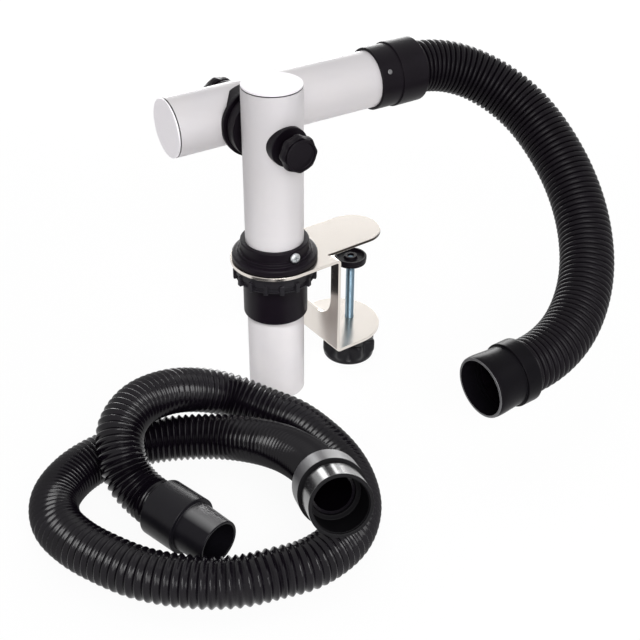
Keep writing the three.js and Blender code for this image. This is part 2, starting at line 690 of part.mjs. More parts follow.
// Pivot knob about Z, foot at z = 0: hub, lobed head with a round rim and a sunk face, blind bolt hole
function pivotKnob(hub) {
  const top = hub + KNOB_HEAD;
  const star = starBlock([
    [KNOB_D / 2 - KNOB_BEVEL, hub, KNOB_SCALLOP],
    [KNOB_D / 2, hub + KNOB_BEVEL, KNOB_SCALLOP],
    [KNOB_D / 2, hub + KNOB_HEAD * 0.6, KNOB_SCALLOP],
    [KNOB_RIM_D / 2, top, 0],
  ], KNOB_LOBES);
  const neck = bar(KNOB_HUB_D / 2, 0, hub + KNOB_BEVEL, 20);
  const face = bar(KNOB_FACE_D / 2, top - KNOB_FACE_SUNK, top + 1);
  const hole = bar(BOLT_D / 2 + FIT, -1, hub + BOLT_IN_HEAD + FIT, 16);
  return shaped(solid(star).add(solid(neck)).subtract(solid(face)).subtract(solid(hole)));
}
const frontKnob = pivotKnob(FRONT_KNOB_HUB).rotateX(Math.PI / 2).translate(0, -KNOB_FOOT, 0);
piece('front_knob', atPivot(frontKnob), blackPlastic(), column);

// Arm: tube lying across the column's back, tilted about the pivot bolt
const arm = group('arm', column);
arm.position.set(0, 0, PIVOT_Z);
arm.rotation.y = -TILT * DEG;
const besideColumn = (geometry) => geometry.translate(0, ARM_OFFSET, 0);
const rivetX = CUFF_FRONT_X + RIVET_FROM_EDGE;
const socketR = TUBE_HUG_R + CUFF_SOCKET_WALL;
const onRivet = (geometry) => {
  geometry.rotateX((90 - RIVET_UP) * DEG);
  return geometry.translate(rivetX, 0, 0);
};
const rivetCut = () => onRivet(bar(RIVET_D / 2 + FIT, TUBE_BORE_R - 2, socketR + 2, 16));
const armTubeBody = besideColumn(alongX(tubeOutline(-ARM_BEHIND_PIVOT, ARM_END_X)));
const armWindow = alongY(bar(AIR_HOLE_D / 2, 0, ARM_OFFSET));
const armTube = solid(armTubeBody).subtract(solid(armWindow)).subtract(solid(boltCut()));
piece('arm_tube', shaped(armTube.subtract(solid(besideColumn(rivetCut())))), anodised(), arm);

const onArmEnd = (geometry) => {
  geometry.rotateY(-Math.PI / 2);
  return besideColumn(geometry.translate(-ARM_BEHIND_PIVOT, 0, 0));
};
piece('arm_cap_plug', onArmEnd(capPlug()), blackPlastic(), arm);
piece('arm_cap_disc', onArmEnd(capDisc()), capMetal(), arm);

// Arm saddle: larger flange, and a narrower body that hugs the arm tube with ears above and below
const armClear = besideColumn(alongX(bar(TUBE_HUG_R, -2 * TUBE_OD, 2 * TUBE_OD)));
const armSaddleFrom = SADDLE_FACE + FIT / 2;
const armSaddleTo = ARM_OFFSET - TUBE_R + ARM_EAR_WRAP;
const armSaddleBody = alongY(turnedSolid([
  [0, armSaddleFrom],
  [ARM_SADDLE_D / 2, armSaddleFrom],
  [ARM_SADDLE_D / 2, armSaddleFrom + ARM_SADDLE_FLANGE],
  [ARM_EAR_D / 2, armSaddleFrom + ARM_SADDLE_FLANGE],
  [ARM_EAR_D / 2, armSaddleTo],
  [0, armSaddleTo],
]));
const armSaddle = solid(armSaddleBody).subtract(solid(armClear)).subtract(solid(windowCut()));
piece('arm_saddle', shaped(armSaddle), blackPlastic(), arm);

// Rear washer and rear knob, as at the front
const rearWasherBody = alongY(bar(WASHER_D / 2, ARM_OFFSET + TUBE_R - WASHER_WRAP, ARM_OFFSET + WASHER_FACE));
const rearWasher = solid(rearWasherBody).subtract(solid(armClear)).subtract(solid(boltCut()));
piece('rear_washer', shaped(rearWasher), blackPlastic(), arm);
const rearKnob = pivotKnob(REAR_KNOB_HUB).rotateZ(Math.PI / KNOB_LOBES);
rearKnob.rotateX(-Math.PI / 2).translate(0, rearKnobFoot, 0);
piece('rear_knob', rearKnob, blackPlastic(), arm);

// Upper cuff: socket over the arm tube, stop, collar over the flexible arm
const cuffOutline = turned([
  [TUBE_HUG_R, CUFF_FRONT_X],
  [socketR - CUFF_EDGE, CUFF_FRONT_X],
  [socketR, CUFF_FRONT_X + CUFF_EDGE],
  [socketR, CUFF_STOP_X],
  [CUFF_COLLAR_R - CUFF_EDGE, CUFF_STOP_X],
  [CUFF_COLLAR_R, CUFF_STOP_X + CUFF_EDGE],
  [CUFF_COLLAR_R, CUFF_END_X - CUFF_EDGE],
  [CUFF_COLLAR_R - CUFF_EDGE, CUFF_END_X],
  [FLEX_HUG_R, CUFF_END_X],
  [FLEX_HUG_R, CUFF_HOSE_X],
  [TUBE_BORE_R - CUFF_STOP_IN, CUFF_HOSE_X],
  [TUBE_BORE_R - CUFF_STOP_IN, CUFF_STOP_X],
  [TUBE_HUG_R, CUFF_STOP_X],
]);
const cuffCut = solid(alongX(cuffOutline)).subtract(solid(rivetCut()));
piece('upper_cuff', besideColumn(shaped(cuffCut)), blackPlastic(), arm);

// Cuff rivet: holds the cuff on the tube
const rivetBody = turnedSolid([
  [0, TUBE_BORE_R - 1],
  [RIVET_D / 2, TUBE_BORE_R - 1],
  [RIVET_D / 2, socketR + FIT],
  [RIVET_HEAD_D / 2, socketR + FIT],
  [RIVET_HEAD_D / 2 - 0.5, socketR + FIT + RIVET_HEAD],
  [0, socketR + FIT + RIVET_HEAD],
], 16);
piece('cuff_rivet', besideColumn(onRivet(rivetBody)), blackPlastic(), arm);

// Ribbed tube with a bore, along a list of frames (centre, two cross directions)
function ribbedTube(frames, crestR, rootR, boreR, boreStep) {
  const sides = 8;
  const positions = [];
  const index = [];
  const ring = (frame, radius) => {
    const first = positions.length / 3;
    for (let side = 0; side < sides; side += 1) {
      const angle = (side / sides) * 2 * Math.PI;
      const point = frame.center.clone();
      point.addScaledVector(frame.across, radius * Math.cos(angle));
      point.addScaledVector(frame.over, radius * Math.sin(angle));
      positions.push(point.x, point.y, point.z);
    }
    return first;
  };
  const band = (a, b) => {
    for (let side = 0; side < sides; side += 1) {
      const next = (side + 1) % sides;
      index.push(a + side, a + next, b + next, a + side, b + next, b + side);
    }
  };
  const last = frames.length - 1;
  const outer = frames.map((frame, place) => ring(frame, place % 2 ? crestR : rootR));
  const bore = [];
  frames.forEach((frame, place) => {
    if (place % (2 * boreStep) === 0 || place === last) {
      bore.push(ring(frame, boreR));
    }
  });
  for (let place = 0; place < last; place += 1) {
    band(outer[place], outer[place + 1]);
  }
  for (let place = 0; place < bore.length - 1; place += 1) {
    band(bore[place + 1], bore[place]);
  }
  band(bore[0], outer[0]);
  band(outer[last], bore[bore.length - 1]);
  const geometry = new THREE.BufferGeometry();
  geometry.setAttribute('position', new THREE.Float32BufferAttribute(positions, 3));
  geometry.setIndex(index);
  geometry.computeVertexNormals();
  return geometry;
}

// Flexible arm: point and heading in its leaning plane, walked length by length
const planeAcross = new THREE.Vector3(0, -Math.sin(FLEX_LEAN * DEG), -Math.cos(FLEX_LEAN * DEG));
const planeNormal = new THREE.Vector3(1, 0, 0).cross(planeAcross);
const inPlane = (x, y) => new THREE.Vector3(x, ARM_OFFSET, 0).addScaledVector(planeAcross, y);
function flexFrame(x, y, heading) {
  const forward = new THREE.Vector3(Math.cos(heading), 0, 0);
  forward.addScaledVector(planeAcross, Math.sin(heading));
  return {
    center: inPlane(x, y),
    across: planeNormal.clone(),
    over: forward.clone().cross(planeNormal),
    forward,
  };
}
const flexStart = CUFF_HOSE_X + FIT;
const flexBend = CUFF_END_X + FLEX_LEAD_IN;
const endStraight = FLEX_LEAD_OUT + NOZZLE_COLLAR - FIT;
const flex = group('flexible_arm', arm);
let walkX = flexStart;
let walkY = 0;
let heading = 0;
let flexEnd = null;
FLEX_TURNS.forEach((turn, place) => {
  const straightBefore = place === 0 ? flexBend - flexStart : 0;
  const straightAfter = place === FLEX_TURNS.length - 1 ? endStraight : 0;
  const gapBefore = place === 0 ? 0 : FLEX_JOIN / 2;
  const gapAfter = straightAfter ? 0 : FLEX_JOIN / 2;
  const total = straightBefore + FLEX_LENGTH + straightAfter;
  const ribs = Math.round((FLEX_RIBS * total) / FLEX_LENGTH);
  const at = (travel) => {
    const bent = Math.min(Math.max(travel - straightBefore, 0), FLEX_LENGTH);
    const curve = (turn * DEG) / FLEX_LENGTH;
    const before = Math.min(travel, straightBefore);
    const after = Math.max(travel - straightBefore - FLEX_LENGTH, 0);
    const turnNow = heading + bent * curve;
    const chordX = (Math.sin(turnNow) - Math.sin(heading)) / curve;
    const chordY = (Math.cos(heading) - Math.cos(turnNow)) / curve;
    const x = walkX + before * Math.cos(heading) + chordX + after * Math.cos(turnNow);
    const y = walkY + before * Math.sin(heading) + chordY + after * Math.sin(turnNow);
    return { x, y, turnNow };
  };
  const frames = [];
  for (let step = 0; step <= 2 * ribs; step += 1) {
    const travel = gapBefore + ((total - gapBefore - gapAfter) * step) / (2 * ribs);
    const spot = at(travel);
    frames.push(flexFrame(spot.x, spot.y, spot.turnNow));
  }
  const rootR = FLEX_R - FLEX_RIB;
  const length = ribbedTube(frames, FLEX_R, rootR, rootR - FLEX_WALL, 5);
  piece(`flex_length_${place + 1}`, length, hoseBlack(), flex);
  const end = at(total);
  walkX = end.x;
  walkY = end.y;
  heading = end.turnNow;
  flexEnd = flexFrame(walkX, walkY, heading);
});

// Nozzle cuff: collar over the flexible arm's end, step, open mouth with a rounded lip
const mouthR = NOZZLE_MOUTH_BORE / 2 + NOZZLE_WALL;
const nozzleCollarR = FLEX_HUG_R + NOZZLE_COLLAR_WALL;
const nozzleStep = FIT - NOZZLE_STEP;
const nozzleEnd = FIT + CUFF_STOP + NOZZLE_MOUTH;
const nozzle = turned([
  [FLEX_HUG_R, FIT - NOZZLE_COLLAR],
  [nozzleCollarR - CUFF_EDGE, FIT - NOZZLE_COLLAR],
  [nozzleCollarR, FIT - NOZZLE_COLLAR + CUFF_EDGE],
  [nozzleCollarR, nozzleStep - CUFF_EDGE],
  [nozzleCollarR - CUFF_EDGE, nozzleStep],
  [NOZZLE_WAIST_D / 2, nozzleStep],
  [NOZZLE_WAIST_D / 2, nozzleEnd - 2 * NOZZLE_LIP],
  [mouthR, nozzleEnd - NOZZLE_LIP],
  [mouthR, nozzleEnd - CUFF_EDGE],
  [mouthR - CUFF_EDGE, nozzleEnd],
  [mouthR - NOZZLE_WALL + CUFF_EDGE, nozzleEnd],
  [mouthR - NOZZLE_WALL, nozzleEnd - CUFF_EDGE],
  [mouthR - NOZZLE_WALL, FIT + CUFF_STOP],
  [TUBE_BORE_R - CUFF_STOP_IN, FIT + CUFF_STOP],
  [TUBE_BORE_R - CUFF_STOP_IN, FIT],
  [FLEX_HUG_R, FIT],
]);
const nozzleFrame = new THREE.Matrix4();
nozzleFrame.makeBasis(flexEnd.across, flexEnd.over, flexEnd.forward);
nozzleFrame.setPosition(flexEnd.center);
piece('nozzle_cuff', nozzle.applyMatrix4(nozzleFrame), blackPlastic(), arm);

// Connecting hose: ribbed tube through the route points
const hose = group('connecting_hose_set', assembly);
const routePoints = HOSE_ROUTE.map((point) => new THREE.Vector3(...point));
const route = new THREE.CatmullRomCurve3(routePoints);
route.arcLengthDivisions = 2000;
const hoseSteps = 2 * HOSE_RIBS;
const hoseTurns = route.computeFrenetFrames(hoseSteps, false);
const hoseFrames = [];
for (let step = 0; step <= hoseSteps; step += 1) {
  const across = hoseTurns.normals[step];
  const over = hoseTurns.binormals[step];
  hoseFrames.push({ center: route.getPointAt(step / hoseSteps), across, over });
}
const hoseRootR = HOSE_R - HOSE_RIB;
const hoseTube = ribbedTube(hoseFrames, HOSE_R, hoseRootR, hoseRootR - HOSE_WALL, HOSE_BORE_STEP);
piece('connecting_hose', hoseTube, hoseBlack(), hose);

// Places a body of revolution on a hose end, its +Z leaving the hose
function onHoseEnd(geometry, end, inward) {
  const out = end.clone().sub(inward).normalize();
  const turn = new THREE.Quaternion().setFromUnitVectors(new THREE.Vector3(0, 0, 1), out);
  geometry.applyQuaternion(turn);
  return geometry.translate(end.x, end.y, end.z);
}

// Large hose cuff: thick collar on the hose, groove, wide mouth
const largeCollarR = HOSE_HUG_R + LARGE_CUFF_COLLAR_WALL;
const largeMouthR = LARGE_CUFF_MOUTH_D / 2;
const largeCollarTo = LARGE_CUFF_COLLAR - HOSE_IN_CUFF;
const largeEnd = largeCollarTo + LARGE_CUFF_GROOVE + LARGE_CUFF_MOUTH;
const largeGrooveR = largeMouthR - LARGE_CUFF_GROOVE_DEPTH;
const largeCuff = turned([
  [HOSE_HUG_R, -HOSE_IN_CUFF],
  [largeCollarR - CUFF_EDGE, -HOSE_IN_CUFF],
  [largeCollarR, -HOSE_IN_CUFF + CUFF_EDGE],
  [largeCollarR, largeCollarTo - CUFF_EDGE],
  [largeCollarR - CUFF_EDGE, largeCollarTo],
  [largeGrooveR, largeCollarTo],
  [largeGrooveR, largeCollarTo + LARGE_CUFF_GROOVE],
  [largeMouthR, largeCollarTo + LARGE_CUFF_GROOVE],
  [largeMouthR, largeEnd - CUFF_EDGE],
  [largeMouthR - CUFF_EDGE, largeEnd],
  [largeMouthR - LARGE_CUFF_MOUTH_WALL, largeEnd],
  [largeMouthR - LARGE_CUFF_MOUTH_WALL, FIT + CUFF_SHOULDER],
  [HOSE_R - CUFF_SHOULDER, FIT + CUFF_SHOULDER],
  [HOSE_R - CUFF_SHOULDER, FIT],
  [HOSE_HUG_R, FIT],
]);
const lastPoint = routePoints.length - 1;
piece('large_hose_cuff', onHoseEnd(largeCuff, routePoints[0], routePoints[1]), blackPlastic(), hose);

// Small hose cuff: wide collar on the hose, step, slightly tapering spigot that fits the column's bore
const smallCollarR = HOSE_HUG_R + SMALL_CUFF_COLLAR_WALL;
const smallCollarTo = SMALL_CUFF_COLLAR - HOSE_IN_CUFF;
const smallEnd = smallCollarTo + SMALL_CUFF_SPIGOT;
const smallRootR = SMALL_CUFF_ROOT_D / 2;
const smallTipR = SMALL_CUFF_TIP_D / 2;
const smallBoreR = smallTipR - SMALL_CUFF_WALL;
const smallCuff = turned([
  [HOSE_HUG_R, -HOSE_IN_CUFF],
  [smallCollarR - CUFF_EDGE, -HOSE_IN_CUFF],
  [smallCollarR, -HOSE_IN_CUFF + CUFF_EDGE],
  [smallCollarR, smallCollarTo - CUFF_EDGE],
  [smallCollarR - CUFF_EDGE, smallCollarTo],
  [smallRootR, smallCollarTo],
  [smallTipR, smallEnd - CUFF_EDGE],
  [smallTipR - CUFF_EDGE, smallEnd],
  [smallBoreR, smallEnd],
  [smallBoreR, FIT],
  [HOSE_HUG_R, FIT],
]);
const smallCuffPlaced = onHoseEnd(smallCuff, routePoints[lastPoint], routePoints[lastPoint - 1]);
piece('small_hose_cuff', smallCuffPlaced, blackPlastic(), hose);

export default assembly;
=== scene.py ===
from bisect import bisect_right
from math import cos, pi, radians, sin, sqrt

import bmesh
import bpy
from mathutils import Matrix, Vector


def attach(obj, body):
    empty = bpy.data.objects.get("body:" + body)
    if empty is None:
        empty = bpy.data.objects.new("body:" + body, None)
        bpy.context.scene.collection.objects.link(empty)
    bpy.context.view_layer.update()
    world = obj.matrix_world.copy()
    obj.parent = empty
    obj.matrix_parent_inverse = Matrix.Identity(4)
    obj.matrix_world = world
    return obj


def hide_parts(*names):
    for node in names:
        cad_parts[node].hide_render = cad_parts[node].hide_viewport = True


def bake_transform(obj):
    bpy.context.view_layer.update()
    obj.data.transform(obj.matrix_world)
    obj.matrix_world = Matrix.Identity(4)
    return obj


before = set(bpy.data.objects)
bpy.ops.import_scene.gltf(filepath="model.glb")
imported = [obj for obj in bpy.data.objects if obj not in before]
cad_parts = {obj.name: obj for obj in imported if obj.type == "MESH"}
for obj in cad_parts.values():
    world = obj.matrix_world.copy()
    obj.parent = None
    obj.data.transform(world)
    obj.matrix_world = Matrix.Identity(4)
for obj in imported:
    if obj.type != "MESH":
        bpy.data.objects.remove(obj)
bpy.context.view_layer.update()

# Camera: stands in front of the column and above it, and takes in the whole set.
# A short portrait lens, tipped down by a good third of a right angle.
MM = 0.001
CAMERA_PLACE = (-534.4, -684.6, 485.7)
CAMERA_PITCH = 33.829
CAMERA_YAW = 36.168
CAMERA_ROLL = 0.485
CAMERA_LENS = 62.25
CAMERA_SENSOR = 36
camera = bpy.data.objects.new("camera", bpy.data.cameras.new("camera"))
camera.data.lens = CAMERA_LENS
camera.data.sensor_width = CAMERA_SENSOR
turn = Matrix.Rotation(radians(-CAMERA_YAW), 4, "Z")
turn = turn @ Matrix.Rotation(radians(90 - CAMERA_PITCH), 4, "X")
turn = turn @ Matrix.Rotation(radians(CAMERA_ROLL), 4, "Z")
camera.matrix_world = Matrix.Translation(Vector(CAMERA_PLACE) * MM) @ turn
bpy.context.collection.objects.link(camera)
bpy.context.scene.camera = camera

# Connecting hose: loose ribbed suction hose that lies on the table in one big loop,
# passes under and over itself, and ends in a cuff at each end.
# Black PVC, blown over a corrugated die, so each rib is a soft glossy ring.
HOSE_D = 38.4
HOSE_RIB = 2.2
HOSE_BORE_D = 29.6
HOSE_STEPS = 8
HOSE_SIDES = 40
HOSE_SWELL = 0.85
SPLINE_STEPS = 30
SHARP_ANGLE = 38
HOSE_ROUTE = [
    (-174.1, -208.6, -64), (-167.3, -192.3, -71.1), (-160.5, -176, -78.2), (-155.5, -157.5, -85),
    (-152.5, -137, -92), (-152.5, -113.5, -99.7), (-158.5, -89.5, -106.3), (-173.5, -63.5, -111.9),
    (-200, -42, -113.6), (-232.5, -27, -113.6), (-265.5, -22.5, -113.6), (-297, -28.5, -113.6),
    (-322.5, -46.5, -113.6), (-333, -72, -113.6), (-330, -100, -113.6), (-319.5, -128, -113.6),
    (-304, -156.5, -113.6), (-278, -184.5, -113.6), (-252.5, -202, -113.6), (-227, -211, -113.6),
    (-198.5, -218, -113.6), (-164, -212.5, -113.6), (-138.5, -193.5, -113.6), (-122.5, -167, -113.6),
    (-114, -137, -113.6), (-112.5, -105.5, -113.6), (-116, -74.5, -113.6), (-129, -47, -111.6),
    (-147, -23.5, -104.6), (-173, -15, -92.6), (-205.5, -17.5, -79.4), (-237, -26, -74),
    (-258.5, -40, -78.4), (-268.5, -57.5, -89), (-269.5, -74.5, -102), (-264.5, -92.9, -109.8),
    (-261.1, -106.5, -109.8), (-256.5, -124.9, -109.8),
]
# Rib spacing at distances along the hose: drawn out where it runs easily, pushed together in tight bends.
HOSE_PITCH = [
    (0, 4.5), (70, 4.5), (100, 4.7), (160, 5.2), (240, 5.3), (280, 4.1), (315, 3.9), (345, 4.3), (400, 5.7),
    (430, 6.2), (550, 6.1), (580, 5), (640, 4.6), (700, 5.2), (760, 5.7), (885, 5.8), (910, 4.7), (1100, 4.5),
]


def linear(code):
    """Linear colour of an sRGB hex value."""
    parts = [int(code[i:i + 2], 16) / 255 for i in (1, 3, 5)]
    return [c / 12.92 if c <= 0.04045 else ((c + 0.055) / 1.055) ** 2.4 for c in parts] + [1]


def add_node(tree, kind, links=None, **settings):
    """Adds one node, sets its sockets and properties by name, and links what feeds it."""
    node = tree.nodes.new(kind)
    for name, value in settings.items():
        if name in node.inputs:
            node.inputs[name].default_value = value
        else:
            setattr(node, name, value)
    for socket, source in (links or {}).items():
        tree.links.new(source, node.inputs[socket])
    return node


def sockets(material):
    """Inputs of a material's shader."""
    return material.node_tree.nodes["Principled BSDF"].inputs


def new_material(name, gloss=0.5, metallic=0):
    """New material with its specular level and its share of metal."""
    material = bpy.data.materials.new(name)
    material.use_nodes = True
    sockets(material)["Specular IOR Level"].default_value = gloss
    sockets(material)["Metallic"].default_value = metallic
    return material


def noise(material, size, detail):
    """Cloudy pattern from 0 to 1 of a size in millimetres, or of three sizes along X, Y and Z."""
    tree = material.node_tree
    sizes = size if isinstance(size, tuple) else (size, size, size)
    place = add_node(tree, "ShaderNodeTexCoord").outputs["Object"]
    spread = add_node(tree, "ShaderNodeMapping", {"Vector": place}, Scale=[1 / (s * MM) for s in sizes])
    cloud = add_node(tree, "ShaderNodeTexNoise", {"Vector": spread.outputs["Vector"]}, Scale=1, Detail=detail)
    return cloud.outputs["Fac"]


def tint(material, pattern, colour, other):
    """Lets the colour change to another with a pattern."""
    mix = add_node(material.node_tree, "ShaderNodeMix", {"Factor": pattern}, data_type="RGBA")
    mix.inputs["A"].default_value = linear(colour)
    mix.inputs["B"].default_value = linear(other)
    material.node_tree.links.new(mix.outputs["Result"], sockets(material)["Base Color"])


def grade(material, pattern, socket, *levels):
    """Lets one shader level follow a pattern: the two levels, and the pattern's span if it is not 0 to 1."""
    node = add_node(material.node_tree, "ShaderNodeMapRange", {"Value": pattern})
    for name, level in zip(("To Min", "To Max", "From Min", "From Max"), levels):
        node.inputs[name].default_value = level
    material.node_tree.links.new(node.outputs["Result"], sockets(material)[socket])


def emboss(material, pattern, strength, depth):
    """Raises a pattern as relief, its depth in millimetres."""
    tree = material.node_tree
    bump = add_node(tree, "ShaderNodeBump", {"Height": pattern}, Strength=strength, Distance=depth * MM)
    tree.links.new(bump.outputs["Normal"], sockets(material)["Normal"])


def moulded(name, colour, worn, roughness, gloss, grain, blotch, relief):
    """Black moulding: faint cloudy fading, uneven sheen, and the grain of the mould in relief.
    Grain and blotch are sizes in millimetres; gloss is the specular level."""
    material = new_material(name, gloss)
    cloud = noise(material, blotch, 4)
    tint(material, cloud, colour, worn)
    grade(material, cloud, "Roughness", roughness - 0.05, roughness + 0.05)
    emboss(material, noise(material, grain, 2), relief, 0.1)
    return material


def make_piece(name, points, faces, material, place=Matrix.Identity(4)):
    """One closed mesh from points in millimetres, set in place, smooth except at sharp corners."""
    mesh = bpy.data.meshes.new(name)
    mesh.from_pydata([place @ (Vector(p) * MM) for p in points], [], faces)
    form = bmesh.new()
    form.from_mesh(mesh)
    bmesh.ops.recalc_face_normals(form, faces=form.faces)
    form.to_mesh(mesh)
    form.free()
    mesh.shade_smooth()
    mesh.set_sharp_from_angle(angle=radians(SHARP_ANGLE))
    mesh.materials.append(material)
    piece = bpy.data.objects.new(name, mesh)
    bpy.context.collection.objects.link(piece)
    return piece


def fit(piece, body, slot, *nodes):
    """Sets a piece on its body, in place of the frame's plain nodes; its slot, the finish, is not used."""
    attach(piece, body)
    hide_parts(*nodes)


def ribbed_tube(name, rings, bore, sides, material):
    """Tube with a wall: rings are (centre, across, over, radius) along the outside, in millimetres."""
    points = []
    faces = []

    def band(first, second):
        for side in range(sides):
            after = (side + 1) % sides
            faces.append((first + side, first + after, second + after, second + side))

    def ring(centre, across, over, radius):
        for side in range(sides):
            angle = 2 * pi * side / sides
            points.append(centre + across * (radius * cos(angle)) + over * (radius * sin(angle)))
        return len(points) - sides

    outside = [ring(*each) for each in rings]
    inside = [ring(*each[:3], bore) for each in rings[::4] + rings[-1:]]
    for loop in (outside, inside):
        for first, second in zip(loop, loop[1:]):
            band(first, second)
    band(outside[0], inside[0])
    band(outside[-1], inside[-1])
    return make_piece(name, points, faces, material)


def smooth_route(points):
    """Fine points on a centripetal spline through the route, and the distance to each."""
    knots = [Vector(p) for p in points]
    knots = [2 * knots[0] - knots[1], *knots, 2 * knots[-1] - knots[-2]]
    fine = []
    for a, b, c, d in zip(knots, knots[1:], knots[2:], knots[3:]):
        ab, bc, cd = [sqrt((q - p).length) for p, q in ((a, b), (b, c), (c, d))]
        leave = ((b - a) / ab - (c - a) / (ab + bc) + (c - b) / bc) * bc
        arrive = ((c - b) / bc - (d - b) / (bc + cd) + (d - c) / cd) * bc
        for step in range(SPLINE_STEPS):
            w = step / SPLINE_STEPS
            bend = (3 * (c - b) - 2 * leave - arrive) * w ** 2
            fine.append(b + leave * w + bend + (2 * (b - c) + leave + arrive) * w ** 3)
    fine.append(knots[-2])
    reach = [0]
    for first, second in zip(fine, fine[1:]):
        reach.append(reach[-1] + (second - first).length)
    return fine, reach


def between(keys, values, want):
    """Value at a place in a rising list of keys, on the straight line between its neighbours."""
    spot = min(max(bisect_right(keys, want) - 1, 0), len(keys) - 2)
    share = (want - keys[spot]) / (keys[spot + 1] - keys[spot])
    return values[spot] + (values[spot + 1] - values[spot]) * share


# Plasticised PVC, blown and left as it comes off the die: deep black with a wet shine on each rib.
glossy_pvc = moulded("glossy_black_pvc", "#09060b", "#0f0b12", 0.19, 0.22, grain=1.2, blotch=22, relief=0.12)
hose_fine, hose_reach = smooth_route(HOSE_ROUTE)
hose_length = hose_reach[-1]
rib_starts = [0]
while rib_starts[-1] < hose_length:
    rib_starts.append(rib_starts[-1] + between(*zip(*HOSE_PITCH), rib_starts[-1]))
rib_fit = hose_length / rib_starts[-1]
hose_travel = []
for first, second in zip(rib_starts, rib_starts[1:]):
    hose_travel += [rib_fit * (first + (second - first) * step / HOSE_STEPS) for step in range(HOSE_STEPS)]
hose_travel.append(hose_length)
hose_line = [between(hose_reach, hose_fine, travel) for travel in hose_travel]
hose_rings = []
hose_across = Vector((0, 0, 1))
for spot, centre in enumerate(hose_line):
    ahead = hose_line[min(spot + 1, len(hose_line) - 1)] - hose_line[max(spot - 1, 0)]
    hose_across = (hose_across - ahead * hose_across.dot(ahead) / ahead.length_squared).normalized()
    hose_over = ahead.normalized().cross(hose_across)
    swell = (0.5 - 0.5 * cos(2 * pi * spot / HOSE_STEPS)) ** HOSE_SWELL
    hose_rings.append((centre, hose_across, hose_over, HOSE_D / 2 - HOSE_RIB * (1 - swell)))
hose = ribbed_tube("ribbed_connecting_hose", hose_rings, HOSE_BORE_D / 2, HOSE_SIDES, glossy_pvc)
fit(hose, "loose_hose", "hose_black", "connecting_hose")

# Large hose cuff: thick collar glued on the hose, a shallow groove, then a wide mouth
# with a heavy rim. Injection-moulded black PVC, polished mould.
LARGE_CUFF_ROWS = [
    (19.6, -19), (26.3, -19, 0.8), (26.3, 2, 0.5), (23, 2, 0.3), (23, 3.6, 0.3), (23.8, 3.6, 0.3),
    (23.8, 29.1, 0.9), (20.9, 29.1, 0.6), (20.9, 27.2, 0.3), (20.5, 27.2, 0.3), (20.5, 25.8, 0.3),
    (20.9, 25.8, 0.3), (20.9, 2.3, 0.6), (17.2, 2.3, 0.5), (17.2, 0.3), (19.6, 0.3),
]
LARGE_CUFF_RIM = 28.4
LARGE_CUFF_STEP = 2.6
LARGE_CUFF_GROOVE = 1
LARGE_CUFF_BORE = 22
FINE_SIDES = 128
CORNER_SHARE = 0.42
FLAT_SHARE = 0.2
FLAT_MOST = 0.05
ON_AXIS = 1e-6


def eased(rows):
    """Outline with the corners that give a radius rounded, and a short flat run kept beside each."""
    kept = []
    for spot, row in enumerate(rows):
        here = Vector(row[:2])
        back = Vector(rows[spot - 1][:2]) - here
        on = Vector(rows[(spot + 1) % len(rows)][:2]) - here
        if len(row) < 3 or row[2] == 0:
            kept.append(here)
            continue
        reach = min(row[2], CORNER_SHARE * back.length, CORNER_SHARE * on.length)
        start = here + back.normalized() * reach
        end = here + on.normalized() * reach
        kept.append(start.lerp(here + back, min(FLAT_SHARE * reach / back.length, FLAT_MOST)))
        for share in (0, 0.25, 0.5, 0.75, 1):
            first = start.lerp(here, share)
            kept.append(first.lerp(here.lerp(end, share), share))
        kept.append(end.lerp(here + on, min(FLAT_SHARE * reach / on.length, FLAT_MOST)))
    return kept


def turned(name, rows, material, place, around=96, shape=None):
    """Body of revolution about its own Z from rows of (radius, height, corner radius).
    A row on the axis closes it there; shape(row number, radius, height, angle) may change a point."""
    rows = eased(rows)
    angles = around if isinstance(around, list) else [2 * pi * i / around for i in range(around)]
    count = len(angles)
    points = []
    rings = []
    faces = []
    for number, (radius, height) in enumerate(rows):
        rings.append(len(points))
        if radius < ON_AXIS:
            points.append((0, 0, height))
            continue
        for angle in angles:
            r, h = shape(number, radius, height, angle) if shape else (radius, height)
            points.append((r * cos(angle), r * sin(angle), h))
    pairs = list(zip(range(len(rows)), range(1, len(rows))))
    if rows[0][0] > ON_AXIS:
        pairs.append((len(rows) - 1, 0))
    for a, b in pairs:
        for side in range(count):
            after = (side + 1) % count
            first = [rings[a]] if rows[a][0] < ON_AXIS else [rings[a] + side, rings[a] + after]
            second = [rings[b]] if rows[b][0] < ON_AXIS else [rings[b] + after, rings[b] + side]
            faces.append(first + second)
    return make_piece(name, points, faces, material, place)


def at(x, y, z):
    """Shift by millimetres."""
    return Matrix.Translation(Vector((x, y, z)) * MM)


def on_hose_end(end, inward):
    """Place on a hose end, +Z leaving the hose."""
    out = Vector(end) - Vector(inward)
    return at(*end) @ out.to_track_quat("Z", "Y").to_matrix().to_4x4()


def paint(piece, place, material, wanted):
    """Gives another material to the faces whose centre, in the piece's own millimetres, is wanted."""
    piece.data.materials.append(material)
    to_piece = place.inverted()
    for face in piece.data.polygons:
        if wanted(to_piece @ face.center / MM):
            face.material_index = len(piece.data.materials) - 1


# PVC from a polished mould: nearly mirror-smooth, so its flanks turn white at a low angle.
polished_pvc = moulded(
    "polished_black_pvc", "#121114", "#1a191c", 0.22, 0.5, grain=2.5, blotch=30, relief=0.04
)
sockets(polished_pvc)["IOR"].default_value = 2.4
# The collar's grey base is painted sheen, standing in for the white room's reflection; its high IOR adds a
# real wide grey sheen over it.
painted_sheen_pvc = moulded("black_pvc_painted_grey_sheen", "#2c2b2f", "#38363b", 0.42, 0.5, grain=1.2, blotch=14, relief=0.08)
sockets(painted_sheen_pvc)["IOR"].default_value = 2.1
